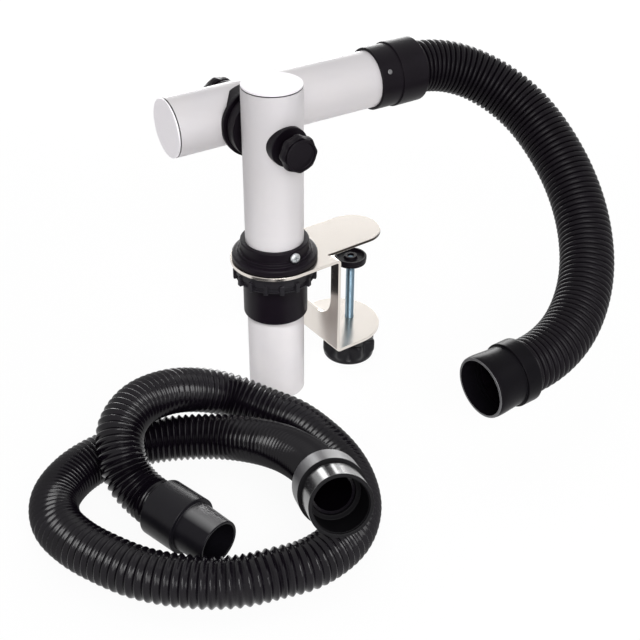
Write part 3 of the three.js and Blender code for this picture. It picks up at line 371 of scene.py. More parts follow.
# Rim, bore and the groove at the step get painted shade: a darker, duller black standing in for the shade in
# the mouth and the groove.
painted_shade_pvc = moulded("black_pvc_painted_shade", "#070608", "#0d0c0f", 0.55, 0.12, grain=1.5, blotch=20, relief=0.1)
large_place = on_hose_end(HOSE_ROUTE[0], HOSE_ROUTE[1])
large_cuff = turned("large_hose_cuff_moulding", LARGE_CUFF_ROWS, polished_pvc, large_place, FINE_SIDES)
# The collar below the step gets the painted grey sheen.
paint(large_cuff, large_place, painted_sheen_pvc, lambda spot: spot.z < LARGE_CUFF_STEP)
# Bore, rim face and the groove at the step get the painted shade.
paint(large_cuff, large_place, painted_shade_pvc, lambda spot: (
    spot.xy.length < LARGE_CUFF_BORE
    or spot.z > LARGE_CUFF_RIM
    or abs(spot.z - LARGE_CUFF_STEP) < LARGE_CUFF_GROOVE
))
fit(large_cuff, "loose_hose", "black_plastic", "large_hose_cuff")

# Small hose cuff: long collar on the hose, a step, and a tapering spigot that slips
# into the column's bore. Injection-moulded soft black PVC with a satin skin.
SMALL_CUFF_ROWS = [
    (19.6, -19), (23.2, -19, 0.9), (23.2, 13.6, 0.7), (20, 13.6, 0.4), (18.7, 42.2, 0.9),
    (16.3, 42.2, 0.7), (16.3, 0.3), (19.6, 0.3),
]
SPIGOT_FOOT = 13.4
SPIGOT_BORE = 16.6
# Satin PVC: a cool black with a weak, wide sheen.
satin_pvc = moulded("satin_black_pvc", "#0d0c10", "#161419", 0.34, 0.17, grain=0.8, blotch=18, relief=0.1)
# The spigot gets a painted sheen on its uppermost side: the specular level rises on faces turned up, so that
# side reads pale grey; below it stays black.
SHEEN_SIDE = (0.33, 0.08, 0.94)
SHEEN_FROM = 0.66
SHEEN_FULL = 0.9
painted_top_sheen_pvc = moulded("black_pvc_painted_top_sheen", "#0f0e12", "#1a181d", 0.36, 0.5, grain=0.8, blotch=12, relief=0.1)
sockets(painted_top_sheen_pvc)["IOR"].default_value = 2.2
facing = add_node(painted_top_sheen_pvc.node_tree, "ShaderNodeTexCoord").outputs["Normal"]
top_facing = add_node(painted_top_sheen_pvc.node_tree, "ShaderNodeVectorMath", {0: facing}, operation="DOT_PRODUCT")
top_facing.inputs[1].default_value = SHEEN_SIDE
grade(painted_top_sheen_pvc, top_facing.outputs["Value"], "Specular IOR Level", 0.03, 0.5, SHEEN_FROM, SHEEN_FULL)
small_place = on_hose_end(HOSE_ROUTE[-1], HOSE_ROUTE[-2])
small_cuff = turned("small_hose_cuff_moulding", SMALL_CUFF_ROWS, satin_pvc, small_place, FINE_SIDES)
# The spigot takes the painted top sheen.
paint(small_cuff, small_place, painted_top_sheen_pvc, lambda spot: (
    spot.z > SPIGOT_FOOT and spot.xy.length > SPIGOT_BORE
))
fit(small_cuff, "loose_hose", "black_plastic", "small_hose_cuff")

# Bracket: one strip of 3 mm steel sheet, cut, folded twice and rounded at its ends.
# Ring plate and tongue on top, a web with a round-bottomed slot, lower jaw below. Nickel plated.
SHEET = 3
BEND_IN = 1.2
BEND_OUT = BEND_IN + SHEET
BRACKET_HALF = 38.5
COLUMN_X = -82.5
WEB_FACE = -39.9
JAW_TOP = -90.7
JAW_FOOT = JAW_TOP - SHEET
JAW_END = -13.4
TONGUE_HALF = 25
TONGUE_END = 1.2
SLOT_HALF = 27.5
SLOT_FLOOR = -63.6
SLOT_CORNER = 21.4
SLOT_RELIEF = 0.8
PLATE_HOLE = 28.4
SCREW_HOLE = 4.4
EDGE_ROUND = 0.35
ROLLED_GRAIN = (50 / 3, 10 / 9, 50 / 3)
CUT_OVER = 1
DARK_EDGE_FROM = 0.1
DARK_EDGE_TILT = 0.3


def arc(x, y, radius, start, end, steps):
    """Points round an arc, angles in degrees, both ends kept."""
    angles = [radians(start + (end - start) * i / steps) for i in range(steps + 1)]
    return [(x + radius * cos(a), y + radius * sin(a)) for a in angles]


def prism(name, outline, spread, material):
    """Straight-sided block from a closed outline of points and how far it is drawn out."""
    count = len(outline)
    points = [Vector(p) for p in outline] + [Vector(p) + Vector(spread) for p in outline]
    sides = [(i, (i + 1) % count, (i + 1) % count + count, i + count) for i in range(count)]
    return make_piece(name, points, [tuple(range(count)), tuple(range(count, 2 * count)), *sides], material)


def settle(piece):
    """Keeps what the piece's modifiers have made as its own mesh."""
    bpy.context.view_layer.update()
    made = piece.evaluated_get(bpy.context.evaluated_depsgraph_get())
    mesh = bpy.data.meshes.new_from_object(made)
    piece.modifiers.clear()
    piece.data = mesh


def carve(piece, tool, operation="DIFFERENCE"):
    """Cuts, joins or trims a piece by a tool that is then thrown away."""
    step = piece.modifiers.new("carve", "BOOLEAN")
    step.object = tool
    step.operation = operation
    step.solver = "EXACT"
    settle(piece)
    bpy.data.objects.remove(tool)


def soften(piece, width):
    """Takes the sharpness off every corner by a width in millimetres."""
    edge = piece.modifiers.new("edge", "BEVEL")
    edge.width = width * MM
    edge.segments = 2
    edge.limit_method = "ANGLE"
    edge.angle_limit = radians(40)
    edge.harden_normals = True
    settle(piece)


def nickel_plated(name, colour, pale, low, high):
    """Nickel on rolled sheet: two tints and two roughness values along a fine rolling grain."""
    material = new_material(name, metallic=1)
    grain = noise(material, ROLLED_GRAIN, 3)
    tint(material, grain, colour, pale)
    grade(material, grain, "Roughness", low, high)
    emboss(material, grain, 0.05, 0.05)
    return material


# Bright nickel: warm, nearly white, a soft mirror with a faint grain along the strip.
bright_nickel = nickel_plated("bright_nickel_plate", "#dbd4cc", "#e3ddd7", 0.16, 0.26)
# Sheared edge of the tongue: the same nickel painted dark, a painted dark reflection that keeps it dark under
# the bright face.
painted_dark_nickel = nickel_plated("nickel_edge_painted_dark", "#2b2724", "#4a433d", 0.3, 0.5)

WEB_BACK = WEB_FACE - SHEET
strip = [(COLUMN_X - 2 * BRACKET_HALF, SHEET)]
strip += arc(WEB_FACE - BEND_OUT, SHEET - BEND_OUT, BEND_OUT, 90, 0, 8)
strip += arc(WEB_FACE + BEND_IN, JAW_TOP + BEND_IN, BEND_IN, 180, 270, 6)
strip += [(2 * BRACKET_HALF, JAW_TOP), (2 * BRACKET_HALF, JAW_FOOT)]
strip += arc(WEB_BACK + BEND_OUT, JAW_FOOT + BEND_OUT, BEND_OUT, 270, 180, 8)
strip += arc(WEB_BACK - BEND_IN, -BEND_IN, BEND_IN, 0, 90, 6)
strip += [(COLUMN_X - 2 * BRACKET_HALF, 0)]
bracket = prism(
    "clamp_bracket", [(x, -BRACKET_HALF, z) for x, z in strip], (0, 2 * BRACKET_HALF, 0), bright_nickel
)
plan = arc(COLUMN_X, 0, BRACKET_HALF, 90, 270, 72) + arc(JAW_END, 0, BRACKET_HALF, -90, 90, 72)
plan_foot = [(x, y, JAW_FOOT - CUT_OVER) for x, y in plan]
plan_block = prism("plan", plan_foot, (0, 0, SHEET - JAW_FOOT + 2 * CUT_OVER), bright_nickel)
carve(bracket, plan_block, "INTERSECT")
corner_y, corner_z = SLOT_HALF - SLOT_CORNER, SLOT_FLOOR + SLOT_CORNER
slot = [(-SLOT_HALF, SHEET + CUT_OVER)] + arc(-corner_y, corner_z, SLOT_CORNER, 180, 270, 24)
slot += arc(corner_y, corner_z, SLOT_CORNER, 270, 360, 24) + [(SLOT_HALF, SHEET + CUT_OVER)]
slot_back = WEB_FACE - BEND_OUT - SLOT_RELIEF
slot_reach = (BEND_OUT + SLOT_RELIEF + CUT_OVER, 0, 0)
carve(bracket, prism("slot", [(slot_back, y, z) for y, z in slot], slot_reach, bright_nickel))
tongue = [(slot_back - SLOT_RELIEF, -TONGUE_HALF)] + arc(TONGUE_END, 0, TONGUE_HALF, -90, 90, 60)
tongue += [(slot_back - SLOT_RELIEF, TONGUE_HALF)]
carve(bracket, prism("tongue", [(x, y, 0) for x, y in tongue], (0, 0, SHEET), bright_nickel), "UNION")
ring_hole = arc(COLUMN_X, 0, PLATE_HOLE, 0, 355, 71)
screw_hole = arc(0, 0, SCREW_HOLE, 0, 350, 35)
for hole, foot in ((ring_hole, 0), (screw_hole, JAW_FOOT)):
    low_ring = [(x, y, foot - CUT_OVER) for x, y in hole]
    carve(bracket, prism("hole", low_ring, (0, 0, SHEET + 2 * CUT_OVER), bright_nickel))
soften(bracket, EDGE_ROUND)
bracket.data.materials.append(painted_dark_nickel)
# The tongue's upright cut edges get the dark nickel: a painted dark reflection.
for face in bracket.data.polygons:
    x, y, z = face.center / MM
    if x > slot_back and abs(y) < SLOT_HALF and z > DARK_EDGE_FROM and abs(face.normal.z) < DARK_EDGE_TILT:
        face.material_index = 1
fit(bracket, "bracket", "nickel_steel", "bracket")

# Clamp nut: hexagon nut fixed under the lower jaw, hidden by the knob from most sides.
# Steel, turned and plated with zinc.
NUT_TOP = -94
NUT_FOOT = -100.5
NUT_FLATS = 13
NUT_BORE = 4.4
NUT_ROUND = 6


def zinc_plated(name, colour, dull, roughness):
    """Clear passivated zinc: cool and bright, a little patchy."""
    material = new_material(name, metallic=1)
    patch = noise(material, 3, 3)
    tint(material, patch, colour, dull)
    grade(material, patch, "Roughness", roughness - 0.06, roughness + 0.06)
    return material


# Bright zinc on turned steel: bluish silver that mirrors the white room in streaks.
bright_zinc = zinc_plated("blue_zinc_plate", "#7f94a2", "#5f7482", 0.38)


def hexagon(number, radius, height, angle):
    """Draws a turned ring out to six flats, and leaves the bore round."""
    lean = (angle + pi / 6) % (pi / 3) - pi / 6
    return (radius / cos(lean) if radius > NUT_ROUND else radius), height


nut_rows = [
    (NUT_BORE, NUT_TOP), (NUT_FLATS / 2, NUT_TOP), (NUT_FLATS / 2, NUT_FOOT, 0.5), (NUT_BORE, NUT_FOOT, 0.4),
]
clamp_nut = turned("clamp_hex_nut", nut_rows, bright_zinc, at(0, 0, 0), 72, hexagon)
fit(clamp_nut, "bracket", "zinc_steel", "clamp_nut")

# Clamp screw: M8 rod with a cut thread, run through the nut under the lower jaw.
# Zinc-plated steel, necked at the top where its tip is riveted over in the pad.
THREAD_R = 4
THREAD_PITCH = 1.25
THREAD_DEPTH = 0.55
THREAD_FOOT = -119.6
THREAD_TOP = -31.5
ROWS_PER_TURN = 6
TIP_ROWS = [
    (2.1, THREAD_TOP), (2.1, -27.1), (2.8, -27.1, 0.2), (2.8, -26.4, 0.3), (2, -25.9, 0.3), (0, -25.9),
]
thread_long = THREAD_TOP - THREAD_FOOT
thread_steps = int(thread_long / THREAD_PITCH * ROWS_PER_TURN)
thread_rows = [(THREAD_R, THREAD_FOOT + thread_long * i / thread_steps) for i in range(thread_steps + 1)]
screw_rows = [(0, THREAD_FOOT)] + thread_rows + TIP_ROWS


def thread(number, radius, height, angle):
    """Cuts a right-hand V thread into the rod's full-size rows."""
    if radius != THREAD_R:
        return radius, height
    wave = (height / THREAD_PITCH - angle / (2 * pi)) % 1
    return radius - THREAD_DEPTH * abs(2 * wave - 1), height


clamp_screw = turned("clamp_thread_rod", screw_rows, bright_zinc, at(0, 0, 0), 32, thread)
fit(clamp_screw, "clamp_screw", "zinc_steel", "clamp_screw")

# Pressure pad: round foot with a raised rim and a ring boss, snapped over the screw's tip.
# Moulded black polyamide, as are the bush, the saddles and the knobs on the pivot.
PAD_ROWS = [
    (2.4, -31.2), (14.1, -31.2, 0.9), (14.1, -28.3, 0.2), (14.5, -28, 0.3), (14.5, -24.6, 0.7),
    (12.7, -24.6, 0.5), (12, -27, 0.4), (6.4, -27, 0.4), (5.7, -24.6, 0.5), (3.1, -24.6, 0.5), (3.1, -27.4),
    (2.4, -27.4),
]
# Polyamide from a lightly spark-eroded mould: satin black with a faint purple cast, soft broad highlights.
satin_polyamide = moulded(
    "satin_black_polyamide", "#0b070c", "#130e15", 0.4, 0.1, grain=0.5, blotch=14, relief=0.16
)
clamp_pad = turned("clamp_pressure_pad", PAD_ROWS, satin_polyamide, at(0, 0, 0))
fit(clamp_pad, "clamp_pad", "black_plastic", "clamp_pad")

# Clamp knob: star knob with eight finger grooves that run out on a round rim.
# Black moulding with the same satin skin as the small cuff, pressed onto the screw's lower end.
CLAMP_KNOB_TOP = -111.6
CLAMP_RIM_TOP = -127.4
CLAMP_GROOVE_RISE = 8
CLAMP_GROOVE = 5.6
CLAMP_GROOVE_FROM = 15
CLAMP_GROOVE_FADE = 8
CLAMP_LOBES = 8
CLAMP_LOBE_AT = 32
CLAMP_KNOB_ROWS = [
    (0, -119.9), (4.3, -119.9), (4.3, -107.6), (10, -107.6, 0.8), (10, CLAMP_KNOB_TOP, 1),
    (23.6, CLAMP_KNOB_TOP, 0.4), (25, -112.1, 0.4), (25.8, -113.3), (26, -115), (26, -117), (26, -119),
    (26, -120.5), (25.9, -122), (25.6, -123.4), (25, -124.8), (24.3, -126.2), (23.9, CLAMP_RIM_TOP),
    (23.7, -128.6), (23.7, -129.8, 0.4), (22.9, -131.2, 0.5), (15, -131.2, 0.6), (14, -130.3, 0.6),
    (0, -130.3),
]


def finger_grooves(number, radius, height, angle):
    """Grooves that are deep at the knob's top and run out above its rim."""
    rise = sin(pi / 2 * min(max((height - CLAMP_RIM_TOP) / CLAMP_GROOVE_RISE, 0), 1))
    out = min(max((radius - CLAMP_GROOVE_FROM) / CLAMP_GROOVE_FADE, 0), 1)
    dip = 0.5 - 0.5 * cos(CLAMP_LOBES * (angle - radians(CLAMP_LOBE_AT)))
    return radius - CLAMP_GROOVE * dip * rise * out, height


clamp_knob = turned("clamp_star_knob", CLAMP_KNOB_ROWS, satin_pvc, at(0, 0, 0), 144, finger_grooves)
fit(clamp_knob, "clamp_screw", "black_plastic", "clamp_knob")

# Column bush: collar, step and flange above the plate, long smooth sleeve below it.
# Moulded black polyamide, dropped through the plate and held by the ring nut.
BUSH_ROWS = [
    (25.3, 20.7, 0.4), (29.5, 20.7, 1.2), (29.5, 12, 0.6), (32, 12, 0.9), (32, 9, 0.8), (36.8, 8.4, 1.6),
    (36.8, 3.3, 0.6), (28, 3.3), (28, -50.5, 0.6), (26.6, -50.5, 0.4), (26.6, 8.9), (25.3, 8.9),
]
COLLAR_SCREW_Z = 14.6
HEAD_POCKET_ROWS = [(0, 29.5), (5.2, 29.5), (5.2, 40), (0, 40)]
SHANK_HOLE_ROWS = [(0, 23), (2.8, 23), (2.8, 33), (0, 33)]
bush = turned("column_bush_moulding", BUSH_ROWS, satin_polyamide, at(COLUMN_X, 0, 0), 144)
facing_front = at(COLUMN_X, 0, COLLAR_SCREW_Z) @ Matrix.Rotation(pi / 2, 4, "X")
carve(bush, turned("head_pocket", HEAD_POCKET_ROWS, satin_polyamide, facing_front, 48))
carve(bush, turned("shank_hole", SHANK_HOLE_ROWS, satin_polyamide, facing_front, 32))
fit(bush, "bracket", "black_plastic", "column_bush")

# Liner: thin ring inside the bush that the column slides through and turns with.
# Moulded in a greyer, drier polyamide.
# Dry polyamide: a dull charcoal beside the satin black of the bush.
dry_polyamide = moulded(
    "dry_grey_polyamide", "#141317", "#1d1b1f", 0.5, 0.2, grain=0.5, blotch=12, relief=0.2
)
LINER_ROWS = [(25.3, 8.6, 0.2), (26.3, 8.6, 0.2), (26.3, -50.2, 0.2), (25.3, -50.2, 0.2)]
liner = turned("column_liner_ring", LINER_ROWS, dry_polyamide, at(COLUMN_X, 0, 0))
fit(liner, "liner", "grey_plastic", "column_liner")

# Collar screw: pan-head machine screw with a cross recess, bears on the column through the collar.
# Zinc-plated steel, screwed into the collar.
# White zinc: paler and smoother than on the clamp screw, a small bright glint.
white_zinc = zinc_plated("white_zinc_plate", "#dadcdd", "#b4b8bb", 0.3)
COLLAR_SCREW_ROWS = [
    (0, 25.3), (2.5, 25.3, 0.3), (2.5, 29.8), (4.8, 29.8, 0.2), (4.8, 31, 0.5), (4.1, 32.1, 0.6),
    (2.4, 32.6, 0.4), (0, 32.6),
]
RECESS_LONG = 2.6
RECESS_HALF = 0.6
RECESS_FLOOR = 31.1
RECESS_CUT = 3
collar_screw = turned("collar_pan_screw", COLLAR_SCREW_ROWS, white_zinc, facing_front, 48)
cross = [
    (RECESS_LONG, -RECESS_HALF), (RECESS_LONG, RECESS_HALF), (RECESS_HALF, RECESS_HALF),
    (RECESS_HALF, RECESS_LONG), (-RECESS_HALF, RECESS_LONG), (-RECESS_HALF, RECESS_HALF),
    (-RECESS_LONG, RECESS_HALF), (-RECESS_LONG, -RECESS_HALF), (-RECESS_HALF, -RECESS_HALF),
    (-RECESS_HALF, -RECESS_LONG), (RECESS_HALF, -RECESS_LONG), (RECESS_HALF, -RECESS_HALF),
]
recess = prism("recess", [(x, y, RECESS_FLOOR) for x, y in cross], (0, 0, RECESS_CUT), white_zinc)
recess.data.transform(facing_front)
carve(collar_screw, recess)
fit(collar_screw, "collar_screw", "zinc_steel", "collar_screw")

# Ring nut: disc against the plate, skirt with a lip, and sixteen grip lugs all round.
# Moulded in the greyer polyamide, screwed up the sleeve.
NUT_LUGS = 16
LUG_AT = 20.7
LUG_HALF = 1.6
LUG_FLANK = 0.35
LUG_ARC_R = 34
LUG_STEPS = (0.6, LUG_HALF, LUG_HALF + LUG_FLANK, 3.4, 5)
LUG_EDGE = 0.3
PLAIN_ROWS = [
    (28.3, -0.3), (34.2, -0.3), (34.5, -0.6), (34.5, -6.4), (34.5, -6.9), (34.5, -9.2), (34.1, -9.7),
    (32.7, -9.7), (32.7, -13.7), (34.3, -13.7), (34.3, -14.6), (33.9, -15), (28.3, -15),
]
LUG_ROWS = [
    (28.3, -0.3), (34.2, -0.3), (34.5, -0.6), (34.5, -6.4), (36.1, -6.6), (36.5, -7), (36.5, -9.7),
    (36.5, -10.5), (36.5, -13.7), (36.5, -14.2), (36.5, -15.1), (36.1, -15.5), (29.3, -15.5),
]
lug_angles = []
for lug in range(NUT_LUGS):
    middle = 2 * pi * lug / NUT_LUGS + radians(LUG_AT)
    for reach in [-step for step in reversed(LUG_STEPS)] + list(LUG_STEPS):
        lug_angles.append(middle + reach / LUG_ARC_R)


def lugged(number, radius, height, angle):
    """Plain section between the lugs, full section on them."""
    turns = (angle - radians(LUG_AT)) / (2 * pi) * NUT_LUGS
    away = abs((turns + 0.5) % 1 - 0.5) * 2 * pi / NUT_LUGS * LUG_ARC_R
    share = min(max((LUG_HALF + LUG_FLANK - away) / LUG_FLANK, 0), 1)
    plain, full = Vector(PLAIN_ROWS[number]), Vector(LUG_ROWS[number])
    return plain.lerp(full, round(share, 3))


ring_nut = turned("bush_ring_nut", PLAIN_ROWS, dry_polyamide, at(COLUMN_X, 0, 0), lug_angles, lugged)
soften(ring_nut, LUG_EDGE)
fit(ring_nut, "ring_nut", "grey_plastic", "ring_nut")

# Column tube: upright suction tube, open at its foot, with an air window towards the arm.
# Drawn aluminium, bead-blasted and satin anodised.
TUBE_R = 25
TUBE_BORE = 23.5
COLUMN_TOP = 156.3
COLUMN_FOOT = -133.7
COLUMN_SWING = -5.1
PIVOT_Z = 115.2
AIR_HOLE = 15
BOLT_HOLE = 3.4
WINDOW_HALF = AIR_HOLE + 2
DRILL_REACH = 40
BLAST_GRAIN = 0.5
HAZE_SIZE = 35
# Anodised aluminium: pale neutral grey, very soft broad reflections, a fine even grain drawn
# coarser than life so that it shows.
satin_anodised = new_material("satin_anodised_aluminium", gloss=0.3, metallic=0.15)
blast = noise(satin_anodised, BLAST_GRAIN, 2)
tint(satin_anodised, noise(satin_anodised, HAZE_SIZE, 3), "#c9c6ca", "#d3cfcf")
grade(satin_anodised, blast, "Roughness", 0.4, 0.5)
emboss(satin_anodised, blast, 0.06, 0.1)
column_place = at(COLUMN_X, 0, 0) @ Matrix.Rotation(radians(COLUMN_SWING), 4, "Z")
pivot_place = column_place @ at(0, 0, PIVOT_Z)
to_back = Matrix.Rotation(-pi / 2, 4, "X")
to_front = Matrix.Rotation(pi / 2, 4, "X")


def tube_rows(foot, window_foot, window_top, top):
    """Tube wall with eased ends and a ring on each side of its window."""
    return [
        (TUBE_BORE, foot, 0.4), (TUBE_R, foot, 0.4), (TUBE_R, window_foot), (TUBE_R, window_top),
        (TUBE_R, top, 0.4), (TUBE_BORE, top, 0.4), (TUBE_BORE, window_top), (TUBE_BORE, window_foot),
    ]


def drill(radius, low, high, place):
    """Round cutter along its own Z."""
    return turned("drill", [(0, low), (radius, low), (radius, high), (0, high)], satin_anodised, place, 64)


column_tube = turned(
    "column_drawn_tube",
    tube_rows(COLUMN_FOOT, PIVOT_Z - WINDOW_HALF, PIVOT_Z + WINDOW_HALF, COLUMN_TOP),
    satin_anodised, column_place, FINE_SIDES,
)
carve(column_tube, drill(AIR_HOLE, 0, DRILL_REACH, pivot_place @ to_back))
carve(column_tube, drill(BOLT_HOLE, 0, DRILL_REACH, pivot_place @ to_front))
fit(column_tube, "column", "anodised_aluminium", "column_tube")

# Column cap plug: hollow plug with a thin flange that shows as a dark seam.
# Black polyamide, pushed into the column's top.
PLUG_ROWS = [
    (0, 0.2), (21.2, 0.2), (21.2, -6.7, 0.3), (23.2, -6.7, 0.4), (23.2, 0.2), (24.8, 0.2, 0.1),
    (24.8, 0.8, 0.1), (0, 0.8),
]
cap_top = column_place @ at(0, 0, COLUMN_TOP)
column_plug = turned("column_cap_push_plug", PLUG_ROWS, satin_polyamide, cap_top, FINE_SIDES)
fit(column_plug, "column", "black_plastic", "column_cap_plug")

# Column cap disc: round cover with eased edges on the plug's flange.
# Cut from aluminium sheet and glued on.
DISC_ROWS = [(0, 0.9), (24.7, 0.9, 0.1), (24.7, 2.3, 0.2), (20, 2.3), (0, 2.3)]
SHEET_GRAIN = 0.6
# Satin aluminium sheet: whiter than the tubes, matt, with faint even grain.
sheet_aluminium = new_material("satin_sheet_aluminium", gloss=0.25, metallic=0.35)
sheet_grain = noise(sheet_aluminium, SHEET_GRAIN, 3)
tint(sheet_aluminium, sheet_grain, "#eeeaee", "#f5f1f5")
grade(sheet_aluminium, sheet_grain, "Roughness", 0.42, 0.52)
column_disc = turned("column_cap_metal_disc", DISC_ROWS, sheet_aluminium, cap_top, FINE_SIDES)
fit(column_disc, "column", "cap_aluminium", "column_cap_disc")

# Pivot bolt: plain rod through both tubes that the arm turns on.
# Zinc-plated steel; a star knob on each end draws the joint together.
BOLT_ROWS = [(0, -41.4), (3, -41.4, 0.4), (3, 91.6, 0.4), (0, 91.6)]
bolt = turned("pivot_bolt_rod", BOLT_ROWS, bright_zinc, pivot_place @ to_back, 32)
fit(bolt, "column", "zinc_steel", "pivot_bolt")

# Column saddle: ring that hugs the column round its air window and is flat towards the arm.
# Black polyamide moulding, clamped by the pivot bolt.
HUG_R = 25.3
COLUMN_SADDLE_LEAST = 16


def hugging(least):
    """Lifts the inner side of a body to a tube that lies along its own Y axis."""
    def shape(number, radius, height, angle):
        across = radius * cos(angle)
        surface = sqrt(max(HUG_R ** 2 - across ** 2, 0))
        return radius, max(height, surface, least)
    return shape


def inner_rows(bore, outer, steps):
    """Rings over the side that meets the tube, from the bore outwards."""
    return [(bore + (outer - bore) * i / steps, 0) for i in range(steps + 1)]


COLUMN_SADDLE_ROWS = inner_rows(15, 27.5, 10) + [
    (27.5, 26.45, 0.5), (25.3, 26.45, 0.2), (25.3, 27.85, 0.3), (15, 27.85),
]
column_saddle = turned(
    "column_pivot_saddle", COLUMN_SADDLE_ROWS, satin_polyamide, pivot_place @ to_back, FINE_SIDES,
    hugging(COLUMN_SADDLE_LEAST),
)
fit(column_saddle, "column", "black_plastic", "column_saddle")

# Front washer: thick round washer that hugs the column's front and is flat under the knob.
# Black polyamide moulding on the pivot bolt.
WASHER_LEAST = 18.5
WASHER_ROWS = inner_rows(3.4, 16.5, 10) + [(16.5, 28.6, 0.7), (3.4, 28.6)]
hug_washer = hugging(WASHER_LEAST)
front_washer = turned(
    "front_shaped_washer", WASHER_ROWS, satin_polyamide, pivot_place @ to_front, FINE_SIDES, hug_washer
)
fit(front_washer, "column", "black_plastic", "front_washer")

# Front knob: star knob on the pivot bolt, with a neck, a head of eight soft lobes,
# a groove, a raised ring and a sunk crowned face. Moulded black polyamide on a threaded insert.
KNOB_FOOT = 29.4
FRONT_NECK = 8
KNOB_HOLE = 4.3
KNOB_LOBES = 8
KNOB_SCALLOP = 1.5
SCALLOP_FROM = 13.9
SCALLOP_FADE = 1.2
KNOB_SIDES = 160


def knob_rows(neck):
    """Knob from its foot: bolt hole, neck, back of the head, lobed flank, groove, ring, sunk face."""
    hole = neck + KNOB_HOLE
    head = [
        (14.2, 0, 0.5), (15.2, 0.6), (15.7, 1.6, 0.5), (15.7, 5.8, 1.6), (14.9, 8, 0.5), (14.4, 8.5, 0.3),
        (14, 7.6, 0.1), (13.4, 7.6, 0.1), (13.3, 9.6, 0.35), (11.9, 9.9, 0.35), (11.3, 8.4, 0.3),
        (10.6, 8.2, 0.3), (8, 8.7), (4, 8.95), (0, 9),
    ]
    foot = [(0, hole), (3.3, hole), (3.3, 0), (9.5, 0, 0.5), (9.5, neck, 0.3)]
    return foot + [(row[0], row[1] + neck, *row[2:]) for row in head]


def lobed(number, radius, height, angle):
    """Scallops round the head, none on the rim or the neck."""
    share = min(max((radius - SCALLOP_FROM) / SCALLOP_FADE, 0), 1)
    return radius - KNOB_SCALLOP * (0.5 - 0.5 * cos(KNOB_LOBES * angle)) * share, height


front_place = pivot_place @ to_front @ at(0, 0, KNOB_FOOT)
front_knob = turned(
    "front_star_knob", knob_rows(FRONT_NECK), satin_polyamide, front_place, KNOB_SIDES, lobed
)
fit(front_knob, "front_knob", "black_plastic", "front_knob")

# Arm tube: the same tube, lying across the column's back on the pivot, nearly level.
# Drawn aluminium, satin anodised, with an air window towards the column.
ARM_TILT = 1.28
ARM_OFFSET = 56
ARM_BACK = -65.6
ARM_END = 146.4
ARM_DRILL_FROM = 20
arm_place = pivot_place @ Matrix.Rotation(radians(-ARM_TILT), 4, "Y")
arm_axis = arm_place @ at(0, ARM_OFFSET, 0) @ Matrix.Rotation(pi / 2, 4, "Y")
arm_rows = tube_rows(ARM_BACK, -WINDOW_HALF, WINDOW_HALF, ARM_END)
arm_tube = turned("arm_drawn_tube", arm_rows, satin_anodised, arm_axis, FINE_SIDES)
carve(arm_tube, drill(AIR_HOLE, ARM_DRILL_FROM, ARM_OFFSET, arm_place @ to_back))
carve(arm_tube, drill(BOLT_HOLE, ARM_OFFSET, 2 * ARM_OFFSET, arm_place @ to_back))
fit(arm_tube, "arm", "anodised_aluminium", "arm_tube")

# Arm cap plug and disc: the column's cap again, in the arm's back end.
# Black polyamide plug, pushed in, and a satin aluminium disc glued on it.
cap_back = arm_place @ at(ARM_BACK, ARM_OFFSET, 0) @ Matrix.Rotation(-pi / 2, 4, "Y")
arm_plug = turned("arm_cap_push_plug", PLUG_ROWS, satin_polyamide, cap_back, FINE_SIDES)
fit(arm_plug, "arm", "black_plastic", "arm_cap_plug")
arm_disc = turned("arm_cap_metal_disc", DISC_ROWS, sheet_aluminium, cap_back, FINE_SIDES)
fit(arm_disc, "arm", "cap_aluminium", "arm_cap_disc")

# Arm saddle: wider ring that hugs the arm tube and slides on the column saddle.
# Black polyamide moulding, clamped by the pivot bolt.
ARM_SADDLE_LEAST = 9
ARM_SADDLE_ROWS = inner_rows(15, 27.2, 12) + [
    (27.25, 24.2), (30.3, 24.15, 0.5), (30.3, 27.85, 0.7), (15, 27.85),
]
arm_saddle = turned(
    "arm_pivot_saddle", ARM_SADDLE_ROWS, satin_polyamide, arm_axis @ to_front, FINE_SIDES,
    hugging(ARM_SADDLE_LEAST),
)
fit(arm_saddle, "arm", "black_plastic", "arm_saddle")

# Rear washer: the front washer again, turned round to hug the arm tube's back.
# Black polyamide moulding on the pivot bolt.
arm_rear = arm_axis @ to_back
rear_washer = turned("rear_shaped_washer", WASHER_ROWS, satin_polyamide, arm_rear, FINE_SIDES, hug_washer)
fit(rear_washer, "arm", "black_plastic", "rear_washer")

# Rear knob: the front knob again on a shorter neck, stopped at its own angle.
# Moulded black polyamide on a threaded insert.
REAR_NECK = 6.2
REAR_KNOB_AT = 32.4
rear_place = arm_rear @ at(0, 0, KNOB_FOOT) @ Matrix.Rotation(radians(REAR_KNOB_AT), 4, "Z")
rear_knob = turned("rear_star_knob", knob_rows(REAR_NECK), satin_polyamide, rear_place, KNOB_SIDES, lobed)
fit(rear_knob, "rear_knob", "black_plastic", "rear_knob")

# Upper cuff: socket over the arm tube, a step, and a collar that takes the flexible arm.
# Moulded black polyamide, held on the tube by one small rivet.
CUFF_ROWS = [
    (25.3, 125.7, 0.5), (27.6, 125.7, 0.8), (27.6, 146.7, 0.3), (28.85, 146.7, 0.6), (28.6, 173.7, 1.4),
    (23.65, 173.7, 0.5), (23.65, 149.2), (21, 149.2), (21, 146.7), (25.3, 146.7),
]
cuff = turned("upper_cuff_moulding", CUFF_ROWS, satin_polyamide, arm_axis, FINE_SIDES)
fit(cuff, "arm", "black_plastic", "upper_cuff")

